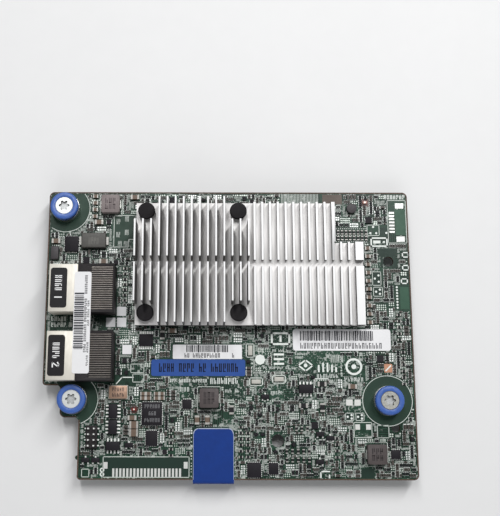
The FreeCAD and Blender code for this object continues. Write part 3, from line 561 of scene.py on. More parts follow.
def node_copy(name, node_name):
    """A clean copy of a CAD node: merged, with flat faces joined."""
    data, mesh = bpy.data.meshes.new(name), node_mesh(node_name)
    mesh.to_mesh(data)
    mesh.free()
    piece = link(name, data)
    edit(piece, lambda face: True)
    bpy.ops.mesh.dissolve_limited(angle_limit=math.radians(1))
    bpy.ops.mesh.normals_make_consistent(inside=False)
    bpy.ops.object.mode_set(mode="OBJECT")
    return piece


def soft_copy(node_name, finish, width, slot, segments=2, body=ROOT):
    """A CAD node with its sharp edges softened by width in mm, standing for that node."""
    piece = node_copy(node_name + "_finish", node_name)
    bevel(piece, width * MM, segments, limit_method="ANGLE", angle_limit=SOFT_ANGLE)
    smooth(piece)
    return own(piece, finish, body, slot, (node_name,))


class Stamp:
    """Many small copies of flat or boxy shapes, gathered into one mesh."""

    def __init__(self, name, *finishes):
        self.name = name
        self.finishes = finishes
        self.verts = []
        self.faces = []
        self.slots = []

    def add(self, points, faces, slots):
        first = len(self.verts)
        self.verts += points
        self.faces += [[first + i for i in face] for face in faces]
        self.slots += slots

    def polygon(self, points, slot=0):
        """Flat shape between points in the frame."""
        self.add(points, [range(len(points))], [slot])

    def plate(self, x0, y0, x1, y1, z, height, slot=0):
        """Low box standing on z, without its hidden underside."""
        points = [at(x, y, level) for level in (z, z + height)
                  for x, y in ((x0, y0), (x1, y0), (x1, y1), (x0, y1))]
        self.add(points, ((4, 5, 6, 7), (0, 1, 5, 4), (1, 2, 6, 5), (2, 3, 7, 6), (3, 0, 4, 7)),
                 [slot] * 5)

    def pad(self, x, y, length, width, z, height, slot=0):
        """Plate with its middle at x, y."""
        self.plate(x - length / 2, y - width / 2, x + length / 2, y + width / 2, z, height, slot)

    def disc(self, x, y, radius, sides, slot=0, z=SKIN):
        self.polygon([around(x, y, radius, 2 * math.pi * i / sides, z) for i in range(sides)],
                     slot)

    def ring(self, x, y, radius, width, sides, slot=0, start=0.0, sweep=2 * math.pi, z=SKIN):
        """Flat ring, or part of one."""
        inner, outer = radius - width / 2, radius + width / 2
        for i in range(sides):
            a, b = (start + sweep * step / sides for step in (i, i + 1))
            self.polygon([around(x, y, outer, a, z), around(x, y, outer, b, z),
                          around(x, y, inner, b, z), around(x, y, inner, a, z)], slot)

    def path(self, places, width, slot=0, z=SKIN):
        """Flat lines from place to place: x, y, x, y and so on."""
        ends = list(zip(places[::2], places[1::2]))
        for (x0, y0), (x1, y1) in zip(ends, ends[1:]):
            dx, dy = Vector((x1 - x0, y1 - y0)).normalized() * (width / 2)
            self.polygon([at(x0 - dx + dy, y0 - dy - dx, z), at(x1 + dx + dy, y1 + dy - dx, z),
                          at(x1 + dx - dy, y1 + dy + dx, z), at(x0 - dx - dy, y0 - dy + dx, z)],
                         slot)

    def frame(self, x0, y0, x1, y1, width, slot=0):
        self.path((x0, y0, x1, y0, x1, y1, x0, y1, x0, y0), width, slot)

    def copy(self, template, x, y, quarter=0, z=0.0):
        """A copy of a modelled template, turned by quarters and set down at x, y."""
        turn = Matrix.Rotation(math.pi / 2 * quarter, 3, "Z")
        self.add([at(x, y, z) + turn @ vertex.co for vertex in template.vertices],
                 [polygon.vertices for polygon in template.polygons],
                 [polygon.material_index for polygon in template.polygons])

    def build(self, slot):
        data = bpy.data.meshes.new(self.name)
        data.from_pydata([tuple(v) for v in self.verts], [], self.faces)
        for finish in self.finishes:
            data.materials.append(material(finish))
        data.polygons.foreach_set("material_index", self.slots)
        data.update()
        own(link(self.name, data), slot=slot)


# ---- small part templates: modelled once at the origin, standing on z = 0, in metres ----
def template(boxes, bevelled=()):
    """Boxes (low, high, material slot) joined, without their undersides on z = 0."""
    pieces = []
    for index, (low, high, slot) in enumerate(boxes):
        piece = add_cube(Vector(low) * MM, Vector(high) * MM)
        if index in bevelled:
            bevel(piece, 0.08 * MM, 1)
        for finish in (0, 1):
            piece.data.materials.append(None)
        for polygon in piece.data.polygons:
            polygon.material_index = slot
        pieces.append(piece)
    focus(*pieces)
    bpy.ops.object.join()
    edit(pieces[0], lambda face: (face.normal.z < -0.5
                                  and face.calc_center_median().z < 0.01 * MM))
    bpy.ops.mesh.delete(type="FACE")
    bpy.ops.object.mode_set(mode="OBJECT")
    data = pieces[0].data.copy()
    bpy.data.objects.remove(pieces[0])
    return data


def chip_template(length, width, height):
    """Two-ended chip part between metal ends that wrap it."""
    half, side, proud = length / 2, width / 2, 0.03
    inner = half - length * 0.24
    return template([
        ((-inner, -side, 0), (inner, side, height), 0),
        ((-half, -side - proud, 0), (-inner, side + proud, height + proud), 1),
        ((inner, -side - proud, 0), (half, side + proud, height + proud), 1)])


def transistor_template():
    """Small three-lead transistor."""
    feet = [((x - 0.16, y - 0.2, 0), (x + 0.16, y + 0.2, 0.3), 1)
            for x, y in ((-0.45, -0.58), (0.45, -0.58), (0.0, 0.58))]
    return template([((-0.75, -0.42, 0.05), (0.75, 0.42, 0.75), 0)] + feet, (0,))


# ---- layout of the small parts ----
HOLES = [(3.6, 92.5, 1.6), (127.5, 79.3, 1.9), (85.3, 13.7, 2.3), (127.8, 18.3, 1.6)]
PARTS_ON_TOP = [
    "port_1_shell", "port_1_housing", "port_2_shell", "port_2_housing", "push_here_label",
    "serial_label", "long_label", "pull_tab", "power_inductors", "inductor_terminals",
    "power_diode", "power_diode_leads", "oscillator_base", "leaded_chips", "chip_leads",
    "flat_chips", "transistors", "small_inductors", "pin_header", "pin_header_pins",
    "status_leds", "ceramic_filters", "white_markers", "ceramic_capacitors", "capacitor_ends",
    "chip_resistors", "resistor_ends", "bare_pads"]
# fields of print and plain board that small parts stay out of: x0, y0, x1, y1
RESERVED = [
    (0, 0, 14.25, 22.5), (0, 0, 7.4, 34.2), (22.6, 0.0, 53.8, 8.3), (127.6, 86.2, 135.5, 105.6),
    (129.7, 61.0, 135.5, 70.0), (112.6, 14.6, 119.4, 20.5), (121.0, 14.6, 125.5, 19.4),
    (120.9, 84.8, 127.7, 88.6), (73.7, 43.0, 77.5, 49.1), (75.0, 33.0, 80.4, 36.4),
    (83.0, 33.6, 89.0, 37.4), (82.6, 47.6, 91.0, 53.2), (76.8, 40.2, 81.6, 45.2),
    (83.6, 40.2, 88.6, 46.9), (91.5, 37.8, 99.0, 45.6), (99.5, 35.8, 108.5, 45.2),
    (109.4, 34.6, 117.5, 43.8), (79.8, 38.9, 92.9, 40.4), (46.0, 33.0, 72.6, 36.6),
    (50.0, 28.0, 55.0, 33.0), (24.4, 84.5, 32.3, 97.2), (114.8, 0.3, 119.9, 4.3),
    (87.4, 101.2, 111.5, 105.6), (123.9, 76.6, 130.6, 84.4), (119.9, 89.2, 127.6, 93.4),
    (31.6, 34.3, 37.0, 41.3), (26.5, 33.6, 34.0, 36.8), (2.0, 53.6, 12.0, 59.4),
    (18.0, 53.6, 22.4, 59.4), (66.0, 28.5, 74.0, 32.8), (82.6, 28.4, 91.4, 33.0),
    (132.4, 80.6, 135.5, 83.2), (132.4, 75.7, 135.5, 78.4), (131.6, 70.6, 135.0, 73.2),
    (121.2, 65.9, 125.1, 75.7), (109.5, 20.5, 120.8, 25.9), (100.0, 0.6, 104.1, 3.4),
    (107.8, 86.4, 120.2, 92.4), (15.0, 0.9, 18.0, 3.8), (21.2, 0.8, 23.6, 4.6),
    (62.0, 19.5, 69.5, 24.0)]
BORDER = 0.75       # width kept free along the board's edge


def screw_places():
    """Places of the three screws' axes."""
    boxes = [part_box(f"knob_ring_{n}") for n in (1, 2, 3)]
    return [board_mm((Vector(low) + Vector(high)) / 2) for low, high in boxes]


class Plan:
    """Which quarter-millimetre cells of the board are free."""
    CELL = 0.25

    def __init__(self):
        self.used = np.zeros((int(BOARD_W / self.CELL), int(BOARD_L / self.CELL)), dtype=bool)
        for corners in ((0, 0, BOARD_L, BORDER), (0, BOARD_W - BORDER, BOARD_L, BOARD_W),
                        (0, 0, BORDER, BOARD_W), (BOARD_L - BORDER, 0, BOARD_L, BOARD_W),
                        *RESERVED):
            self.block(*corners)
        for name in PARTS_ON_TOP:
            for corners in footprints(name, 0.1):
                self.block(*corners)
        x0, y0, x1, y1 = (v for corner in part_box("heat_sink") for v in board_mm(corner))
        self.block(x0 + 2, y0 + 2, x1 - 12, y1 - 2)
        for x, y in screw_places():
            self.block_disc(x, y, sizes().keepout / MM + 0.3)
        for x, y, radius in HOLES:
            self.block_disc(x, y, radius + 0.5)

    def window(self, x0, y0, x1, y1):
        def cells(low, high):
            return slice(max(0, math.floor(low / self.CELL + 0.01)),
                         max(0, math.ceil(high / self.CELL - 0.01)))
        return cells(y0, y1), cells(x0, x1)

    def block(self, x0, y0, x1, y1):
        self.used[self.window(x0, y0, x1, y1)] = True

    def block_disc(self, x, y, radius):
        ys, xs = np.indices(self.used.shape) * self.CELL + self.CELL / 2
        self.used |= (xs - x) ** 2 + (ys - y) ** 2 < radius ** 2

    def take(self, x0, y0, x1, y1):
        """Claim a field if it is free and on the board."""
        window = self.window(x0, y0, x1, y1)
        if x1 > BOARD_L or y1 > BOARD_W or self.used[window].any():
            return False
        self.used[window] = True
        return True


class Layout:
    """Fills the free board with small parts, pads, vias and print."""
    # piece, its slot, its finishes
    STAMPS = {
        "cap": ("tiny_capacitors", "tan_ceramic", "tiny_body", "part_tin"),
        "resistor": ("tiny_resistors", "chip_plastic", "dark_part", "part_tin"),
        "pads": ("tinned_pads", "solder_tin", "part_tin"),
        "vias": ("vias", "solder_tin", "plated_hole"),
        "print": ("tiny_print", "white_label", "print_thin"),
        "chips": ("tiny_chips", "chip_plastic", "chip", "part_tin")}
    SIZES = {1: (1.0, 0.5), 2: (1.6, 0.8)}      # length and width of the two chip parts
    CELLS = {1: (1.5, 0.8), 2: (2.25, 1.25)}    # the field that each takes up
    FRAMED = 0.3                                # share of the rows with a printed frame
    # a method, what it is given, and in how many fields at most it works
    STEPS = (
        ("tiny_chips", 2.4, 5), ("tiny_chips", 1.6, 8), ("transistors", 6),
        ("rows", "cap", 2, 3, 8), ("rows", "resistor", 2, 2, 8), ("rows", "resistor", 1, 6, 12),
        ("rows", "cap", 1, 5, 16), ("vias", 5, 3, 12), ("rows", "empty", 1, 4, 22),
        ("numbers", 6, 30), ("rows", "cap", 2, 1, 22), ("rows", "resistor", 1, 3, 45),
        ("rows", "cap", 1, 3, 60), ("vias", 3, 2, 60), ("numbers", 4, 60),
        ("rows", "resistor", 1, 2, 90), ("rows", "cap", 1, 2, 110), ("rows", "empty", 1, 2, 70),
        ("vias", 2, 2, 120), ("numbers", 3, 70), ("rows", "cap", 1, 1, 420),
        ("rows", "resistor", 1, 1, 420), ("numbers", 2, 120), ("vias", 2, 1, 500),
        ("vias", 1, 1, 2500))

    def __init__(self, seed):
        self.rng = random.Random(seed)
        self.plan = Plan()
        self.places = [(i * 0.5, j * 0.5) for i in range(int(BOARD_L * 2))
                       for j in range(int(BOARD_W * 2))]
        self.rng.shuffle(self.places)
        self.stamps = {kind: Stamp(name, *finishes)
                       for kind, (name, slot, *finishes) in self.STAMPS.items()}
        self.shapes = {(kind, size): chip_template(*self.SIZES[size], height)
                       for kind, size, height in (("cap", 1, 0.5), ("resistor", 1, 0.35),
                                                  ("cap", 2, 0.8), ("resistor", 2, 0.45))}
        self.transistor = transistor_template()

    def scatter(self, width, height, limit, make):
        """Set a thing down in as many free fields as there are, up to a limit."""
        made = 0
        for x, y in self.places:
            if made >= limit:
                break
            if self.plan.take(x, y, x + width, y + height):
                make(x, y)
                made += 1

    def part(self, kind, size, x, y, quarter):
        """One chip part or its empty pads; quarter 0 lies along X."""
        length, width = self.SIZES[size]
        pad = (length * 0.5, width * 1.15)
        for reach in (-length * 0.42, length * 0.42):
            spot = (x, y + reach, *pad[::-1]) if quarter else (x + reach, y, *pad)
            self.stamps["pads"].pad(*spot, 0, PART_PAD)
        if kind != "empty":
            self.stamps[kind].copy(self.shapes[kind, size], x, y, quarter, PART_PAD)

    def rows(self, kind, size, count, limit):
        """Side by side parts, some framed by print."""
        length, pitch = self.CELLS[size]
        for quarter in (0, 1):
            w, h = (pitch * count, length) if quarter else (length, pitch * count)

            def make(x, y):
                for i in range(count):
                    along = (i + 0.5) * pitch
                    spot = (x + along, y + h / 2) if quarter else (x + w / 2, y + along)
                    self.part(kind, size, *spot, quarter)
                if self.rng.random() < self.FRAMED:
                    self.stamps["print"].frame(x + 0.02, y + 0.02, x + w - 0.02, y + h - 0.02,
                                               0.12)
            self.scatter(w, h, limit, make)

    def vias(self, columns, rows, limit):
        pitch = 0.75

        def make(x, y):
            radius = self.rng.choice((0.2, 0.26, 0.32))
            for i in range(columns):
                for j in range(rows):
                    self.stamps["vias"].disc(x + pitch * (i + 0.4), y + pitch * (j + 0.4),
                                             radius, 6)
        self.scatter(columns * pitch - 0.2, rows * pitch - 0.2, limit, make)

    def numbers(self, count, limit):
        """Short dashes that stand for a part's printed number."""
        length = count * 0.5
        for upright in (False, True):
            self.scatter(
                *((0.9, length) if upright else (length, 0.9)), limit,
                lambda x, y: dashes(self.stamps["print"], x + 0.1, y + (length if upright else 0.1),
                                    count, 0.72, self.rng, 0.13, 0.5, upright=upright))

    def tiny_chips(self, size, limit):
        """Leadless chip with pads on two sides."""
        middle, pads, stamp = size / 2 + 0.45, int(size / 0.5), self.stamps["chips"]

        def make(x, y):
            stamp.pad(x + middle, y + middle, size, size, 0.03, 0.7)
            for i in range(pads):
                for side in (-1, 1):
                    stamp.pad(x + middle + side * (size / 2 + 0.12),
                              y + middle + (i - (pads - 1) / 2) * 0.5, 0.36, 0.26, 0, PAD, 1)
        self.scatter(size + 0.9, size + 0.9, limit, make)

    def transistors(self, limit):
        for quarter in range(4):
            self.scatter(1.8, 1.8, limit, lambda x, y: self.stamps["chips"].copy(
                self.transistor, x + 0.9, y + 0.9, quarter))

    def build(self):
        for name, *values in self.STEPS:
            getattr(self, name)(*values)
        for kind, (name, slot, *finishes) in self.STAMPS.items():
            self.stamps[kind].build(slot)


# ---- print ----
def on_board(x, y, margin=0.7):
    """Inside the outline, clear of its notch."""
    return (margin < x < BOARD_L - margin and margin < y < BOARD_W - margin
            and not (y < LOBE_Y + margin and x < NOTCH_X + margin)
            and not (y < NOTCH_Y + margin and x < LOBE_X + margin))


def screw_fields(circles, fields, width, slot):
    """Plain mask round each screw out to its keep-out, and a printed circle where board is."""
    def inside(reach, turn):
        return on_board(x + reach * math.cos(turn), y + reach * math.sin(turn))

    radius = sizes().keepout / MM
    turns = [2 * math.pi * i / CIRCLE_STEPS for i in range(CIRCLE_STEPS + 1)]
    for x, y in screw_places():
        rim = []
        for a, b in zip(turns, turns[1:]):
            if inside(radius, a) and inside(radius, b):
                circles.ring(x, y, radius, width, 1, 0, a, b - a)
            reach = radius - 0.2
            while not inside(reach, a):
                reach -= 0.1
            rim.append(around(x, y, reach, a, COAT))
        for i in range(CIRCLE_STEPS):
            fields.polygon([at(x, y, COAT), rim[i], rim[(i + 1) % CIRCLE_STEPS]], slot)


def dashes(stamp, x, y, count, height, rng, width, pitch, gaps=(), slot=0, upright=False, z=SKIN):
    """A line of strokes that stands for a line of print; gaps lists the places left empty.

    An upright line runs towards the front, its strokes lying along X.
    """
    def stroke(a, low, b, high, thick):
        ends = ((x + low, y - a, x + high, y - b) if upright else
                (x + a, y + low, x + b, y + high))
        stamp.path(ends, thick, slot, z)

    step = pitch * 0.42
    for i in range(count):
        if i in gaps:
            continue
        foot, top = rng.choice(((0.0, 1.0), (0.0, 1.0), (0.0, 0.55), (0.45, 1.0)))
        start = i * pitch + width / 2
        stroke(start, 0.0, start, height, width)
        stroke(start + step, foot * height, start + step, top * height, width)
        if rng.random() < 0.8:
            level = rng.choice((0.0, 0.5, 1.0)) * height
            stroke(start, level, start + step, level, width * 0.8)


def bar_rows(stamp, x0, y0, x1, y1, upright, rng, z):
    """Printed bars of uneven width across a field."""
    place, end = (y0, y1) if upright else (x0, x1)
    while place < end - 0.3:
        width = rng.choice((0.2, 0.3, 0.44, 0.6))
        middle = place + width / 2
        stamp.path((x0, middle, x1, middle) if upright else (middle, y0, middle, y1), width, 0, z)
        place += width + rng.choice((0.14, 0.18, 0.22, 0.32))


def top_of(name, x):
    """Height for print on the solid of a CAD node whose middle lies nearest to x."""
    low, high = min(islands(name), key=lambda box: abs(board_mm(sum(box, Vector()) / 2)[0] - x))
    return above_board(high.z)


# plain numbers, their tops towards +X
NUMERALS = {1: ((0, 0.4), (1, 0.4)), 2: ((0.8, 0), (1, 0.3), (0.85, 0.6), (0, 0), (0, 0.65))}
# thin outlines: x0, y0, x1, y1
OUTLINES = [(22.8, 0.9, 53.5, 8.0), (127.9, 86.4, 134.8, 102.9), (112.8, 14.9, 119.2, 20.2),
            (121.2, 14.8, 125.3, 19.2), (120.0, 89.3, 124.5, 93.3), (32.0, 37.9, 36.8, 41.0),
            (32.8, 34.5, 36.8, 37.4), (15.2, 1.0, 17.8, 3.7)]
# outlines of four small places left empty, each with three dots
EMPTY_PLACES = [(121.4, 70.3, 124.5, 75.4), (121.6, 66.2, 124.9, 69.6),
                (109.9, 20.9, 112.8, 23.5), (113.6, 20.9, 116.5, 23.5)]
# bold outlines: their width, then x0, y0, x1, y1; the second is a plain sign
BOLD_OUTLINES = [(0.55, 121.4, 85.2, 127.3, 88.3), (0.7, 83.6, 48.4, 90.0, 52.4)]
# bold lines: their width, then x, y of each end and bend; most belong to plain signs
BOLD_LINES = [
    (0.34, 26.9, 33.9, 28.9, 36.2, 33.0, 36.2), (0.4, 100.5, 0.9, 100.5, 3.0, 103.6, 3.0),
    (0.34, 98.8, 32.2, 98.8, 35.8, 104.2, 35.8, 104.2, 34.6), (0.4, 103.6, 0.9, 103.6, 1.7),
    (0.5, 24.7, 27.3, 27.3, 27.3), (0.5, 24.7, 21.45, 27.3, 21.45),
    (1.1, 122.7, 86.8, 124.3, 86.8), (0.8, 86.8, 49.6, 86.8, 51.2),
    (0.75, 84.6, 41.2, 87.6, 41.2), (0.75, 84.6, 42.9, 87.6, 42.9),
    (0.75, 84.6, 44.6, 87.6, 44.6), (0.6, 100.6, 38.5, 100.6, 40.5),
    (0.6, 102.2, 38.5, 102.2, 41.3), (0.6, 103.8, 38.5, 103.8, 41.3),
    (0.6, 105.4, 38.5, 105.4, 40.5), (0.6, 106.9, 38.5, 106.9, 39.7),
    (0.5, 93.2, 40.6, 95.8, 42.6, 98.4, 40.6, 95.8, 38.6, 93.2, 40.6)]
# bold dots: their radius and sides, then x, y of each; the first three belong to plain signs
BOLD_DOTS = [(1.9, 8, 79.2, 42.7), (0.7, 8, 95.8, 40.6), (0.9, 10, 113.4, 40.2),
             (0.42, 8, 122.3, 92.6, 121.2, 90.2, 123.4, 90.2, 127.2, 90.3, 126.2, 86.8)]
# lines of print: x, y, how many strokes, height, width, pitch, gaps
PRINTED_ROWS = [
    (46.3, 34.5, 16, 1.1, 0.2, 0.86, (3, 9)), (61.0, 34.0, 8, 1.9, 0.3, 1.3),
    (80.4, 39.3, 16, 0.8, 0.14, 0.74, (2, 6, 10, 13)), (83.8, 45.6, 6, 0.8, 0.14, 0.74, (2,)),
    (92.0, 44.4, 6, 0.7, 0.14, 0.8), (92.0, 43.2, 4, 0.7, 0.14, 0.8),
    (99.9, 36.2, 7, 1.2, 0.2, 1.15), (109.9, 34.9, 6, 1.3, 0.2, 1.2),
    (2.4, 56.9, 7, 1.4, 0.24, 1.15, (5,)), (2.4, 54.7, 7, 1.4, 0.24, 1.15, (5,)),
    (126.9, 103.5, 7, 1.4, 0.3, 1.15), (50.2, 31.2, 3, 1.4, 0.2, 1.2),
    (66.4, 30.9, 6, 0.9, 0.16, 0.9, (3,)), (83.0, 30.2, 5, 1.0, 0.16, 0.9)]
# plain fields on the board: finish, thickness, then x0, y0, x1, y1 of each
PLAIN_FIELDS = {
    "mask_plain": (COAT, (130.7, 89.5, 134.5, 99.4), (131.4, 61.4, 134.6, 69.7)),
    "mask_dark": (COAT, (23.1, 1.1, 53.2, 7.8), (121.5, 70.4, 124.4, 75.3),
                  (121.7, 66.3, 124.8, 69.5), (110.0, 21.0, 112.7, 23.4),
                  (113.7, 21.0, 116.4, 23.4), (109.6, 13.6, 111.9, 15.0), (115.0, 0.6, 119.7, 4.1),
                  (124.8, 89.3, 127.4, 92.4), (124.0, 81.3, 130.3, 84.2),
                  (124.6, 77.0, 125.5, 81.3), (129.5, 77.0, 130.4, 81.3)),
    "bare_laminate": (COAT, (103.4, 101.4, 110.8, 105.2)),
    "copper": (0.045, (124.5, 38.1, 127.4, 41.2)),
    "lamp_glow": (0.045, (117.9, 100.5, 120.9, 103.5)),
    "mask_keepout": (COAT, (24.9, 87.8, 32.0, 96.7), (24.9, 84.9, 30.0, 87.8))}


# ---- the add-on ----
class CARD_OT_stage(bpy.types.Operator):
    """Build the pale floor, the lights and the camera"""
    bl_idname = "card.stage"
    bl_label = "Stage"

    def execute(self, context):
        scene = context.scene
        focus()
        bpy.ops.mesh.primitive_plane_add(size=FLOOR_SIZE, location=(0, 0, -FLOOR_DROP))
        floor = context.object
        floor.name = "studio_floor"
        floor.data.materials.append(material("floor"))
        for name, place, width, power in LIGHTS:
            bpy.ops.object.light_add(type="AREA", location=place)
            light = context.object
            light.name = f"light_{name}"
            light.data.shape = "RECTANGLE"
            light.data.size, light.data.size_y = width, LIGHT_HEIGHT
            light.data.energy = power
            light.rotation_euler = Vector(place).to_track_quat("Z", "Y").to_euler()
        scene.world = bpy.data.worlds.new("Studio")
        scene.world.use_nodes = True
        sky = scene.world.node_tree.nodes["Background"].inputs
        sky["Color"].default_value = SKY_COLOR
        sky["Strength"].default_value = SKY_STRENGTH
        data = bpy.data.cameras.new("camera")
        scene.camera = link("camera", data)
        scene.camera.location = [v * MM for v in CAMERA_PLACE]
        scene.camera.rotation_euler = [math.radians(v) for v in CAMERA_TURN]
        data.lens, data.shift_x, data.clip_start = CAMERA_LENS, CAMERA_SHIFT, 0.01
        scene.view_settings.view_transform = "Standard"
        return {"FINISHED"}


class CARD_OT_board(bpy.types.Operator):
    """Finish the circuit board and its bare edge"""
    bl_idname = "card.board"
    bl_label = "Circuit board"

    def execute(self, context):
        paint("solder_mask", "circuit_board")
        add_finishes(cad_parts["circuit_board"], "laminate_edge", "mask_under",
                     pick=lambda face: (1 if abs(face.normal.z) < 0.5 else
                                        0 if face.normal.z > 0 else 2))
        rim, width = Stamp("laminate_rim", "laminate_edge"), sizes().edge_margin / MM
        half = width / 2 + 0.02
        right, back, small, large = BOARD_L - CORNER, BOARD_W - CORNER, 1.2, 2.0
        for places in (
                (NOTCH_X + small, half, right, half),
                (BOARD_L - half, CORNER, BOARD_L - half, back),
                (CORNER, BOARD_W - half, right, BOARD_W - half),
                (half, NOTCH_Y + small, half, back),
                (small, NOTCH_Y + half, LOBE_X - 1.0, NOTCH_Y + half),
                (LOBE_X + half, LOBE_Y + large, LOBE_X + half, NOTCH_Y - 0.6),
                (LOBE_X + large, LOBE_Y + half, NOTCH_X - 1.0, LOBE_Y + half),
                (NOTCH_X + half, small, NOTCH_X + half, LOBE_Y - 1.0)):
            rim.path(places, width)
        for x, y, radius, start in (
                (right, CORNER, CORNER, -90), (right, back, CORNER, 0), (CORNER, back, CORNER, 90),
                (small, NOTCH_Y + small, small, 180), (NOTCH_X + small, small, small, 180),
                (LOBE_X + large, LOBE_Y + large, large, 180)):
            rim.ring(x, y, radius - half, width, 6, 0, math.radians(start), math.pi / 2)
        rim.build("laminate")
        return {"FINISHED"}


class CARD_OT_heat_sink(bpy.types.Operator):
    """Finish the heat sink, its push pins, springs, chips and pads"""
    bl_idname = "card.heat_sink"
    bl_label = "Heat sink"

    def execute(self, context):
        fins = TOP + FIN_FOOT * MM

        # fin sides get the dark painted shade, fin tops the slightly lighter lit copy, all else the
        # floor finish
        def pick(face):
            if abs(face.normal.z) < 0.4:
                return 1 if face.center.z > fins - FIN_SLACK * MM else 0
            return 2 if face.center.z > fins else 0

        sink = soft_copy("heat_sink", "sink_floor", 0.06, "sink_aluminium", 1)
        add_finishes(sink, "sink_wall", "sink_top", pick=pick)
        soft_copy("push_pins", "nylon", 0.12, "black_nylon")
        paint("spring", "push_pin_springs")
        for name in ("controller_chip", "memory_chips"):
            soft_copy(name, "chip", sizes().soft_edge / MM, "chip_plastic")
        paint("pad_rubber", "thermal_pads")
        return {"FINISHED"}


class CARD_OT_screws(bpy.types.Operator):
    """Finish the captive screws, knob rings, sleeves, springs, clips and standoffs"""
    bl_idname = "card.screws"
    bl_label = "Captive screws"

    def execute(self, context):
        for n in (1, 2, 3):
            soft_copy(f"knob_ring_{n}", "knob_blue", 0.15, "blue_plastic", body=f"screw_{n}")
            low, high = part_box(f"captive_screw_{n}")
            middle = (Vector(low) + Vector(high)).xy / 2

            # faces of the head's star recess: the walls get the dark painted shade, the floor the
            # lighter painted shade
            def pick(face):
                z, reach = face.center.z, (face.center.xy - middle).length
                if reach >= RECESS_RADIUS * MM or z <= high[2] - RECESS_DEPTH * MM:
                    return 0
                return 1 if abs(face.normal.z) < 0.5 else 2 if z < high[2] - HEAD_RIM * MM else 0

            # the third head gets the darker grey steel
            paint("head_worn" if n == 3 else "head_steel", f"captive_screw_{n}")
            add_finishes(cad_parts[f"captive_screw_{n}"], "recess", "recess_floor", pick=pick)
            paint("spring", f"retaining_clip_{n}")
            wire = node_copy(f"screw_spring_{n}_wire", f"screw_spring_{n}")
            smooth(wire)
            own(wire, "spring", slot="spring_steel", replaces=(f"screw_spring_{n}",))
            low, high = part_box(f"screw_spring_{n}")
            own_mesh(wire)
        paint("plated_steel", "screw_sleeves", "standoffs")
        return {"FINISHED"}


class CARD_OT_ports(bpy.types.Operator):
    """Finish the cable ports and the board connector"""
    bl_idname = "card.ports"
    bl_label = "Ports"

    def execute(self, context):
        edge = sizes().soft_edge / MM
        for row in (("port_1_shell", "port_tin", 0.12, "tinned_steel"),
                    ("port_1_housing", "housing", edge, "connector_plastic", 1),
                    ("port_2_shell", "port_tin", 0.12, "tinned_steel"),
                    ("port_2_housing", "housing", edge, "connector_plastic", 1),
                    ("mezzanine_connector", "housing", edge, "connector_plastic", 1)):
            soft_copy(*row)
        paint("contact", "port_1_contacts", "port_2_contacts", "mezzanine_contacts")
        paint("name_plate", "port_markers")
        return {"FINISHED"}


class CARD_OT_labels(bpy.types.Operator):
    """Finish the labels and the pull tab, and print on them"""
    bl_idname = "card.labels"
    bl_label = "Labels"

    def execute(self, context):
        paint("label_blue", "push_here_label")
        paint("label_white", "serial_label", "long_label", "part_label", "white_markers")
        paint("tab_blue", "pull_tab")
        rng, ink = random.Random(5), Stamp("label_print", "ink", "ink_blue", "white_ink")
        top = 0.1 + SKIN
        bar_rows(ink, 52.2, 45.6, 67.4, 47.7, False, rng, top)
        dashes(ink, 51.6, 43.5, 13, 1.4, rng, 0.26, 1.02, (2,), z=top)
        dashes(ink, 69.0, 43.5, 1, 1.4, rng, 0.26, 1.02, z=top)
        bar_rows(ink, 93.9, 49.9, 121.2, 53.0, False, rng, top)
        dashes(ink, 94.0, 46.9, 24, 1.8, rng, 0.3, 1.26, z=top)
        dashes(ink, 42.3, 38.4, 20, 2.7, rng, 0.42, 1.46, (4, 9, 12), 1, z=top)
        top = above_board(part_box("part_label")[1][2])
        bar_rows(ink, 12.4, 45.6, 15.3, 66.2, True, rng, top)
        dashes(ink, 15.8, 72.3, 36, 0.75, rng, 0.2, 0.78, (9, 10, 22, 31), upright=True, z=top)
        dashes(ink, 16.9, 63.0, 12, 0.6, rng, 0.17, 0.78, (3, 8), upright=True, z=top)
        dashes(ink, 16.9, 48.0, 11, 0.6, rng, 0.17, 0.78, (5,), upright=True, z=top)
        for number, y in ((1, 67.8), (2, 43.4)):
            dashes(ink, 5.0, y + 4.5, 4, 2.2, rng, 0.34, 1.5, slot=2, upright=True, z=top)
            ink.path([v for a, b in NUMERALS[number] for v in (5.0 + a * 2.3, y - 2.6 - b * 2.3)],
                     0.44, 2, top)
        ink.build("black_label")
        # a light outline along the tab's top and down its sides: a painted highlight of its edges
        low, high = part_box("pull_tab")
        (x0, y0), (x1, y1), top = board_mm(low), board_mm(high), above_board(high[2])
        rim, radius, width = Stamp("tab_rim", "tab_edge"), 2.0, 0.3
        middle = y1 - width / 2
        rim.path((x0 + radius, middle, x1 - radius, middle), width, 0, top)
        for x, start in ((x0 + radius, math.pi / 2), (x1 - radius, 0.0)):
            rim.ring(x, y1 - radius, radius - width / 2, width, 8, 0, start, math.pi / 2, top)
        for x in (x0 + 0.08, x1 - 0.08):
            rim.path((x, y1 - radius, x, y0 + 1.5), 0.14, 0, top)
        rim.build("blue_plastic")
        return {"FINISHED"}


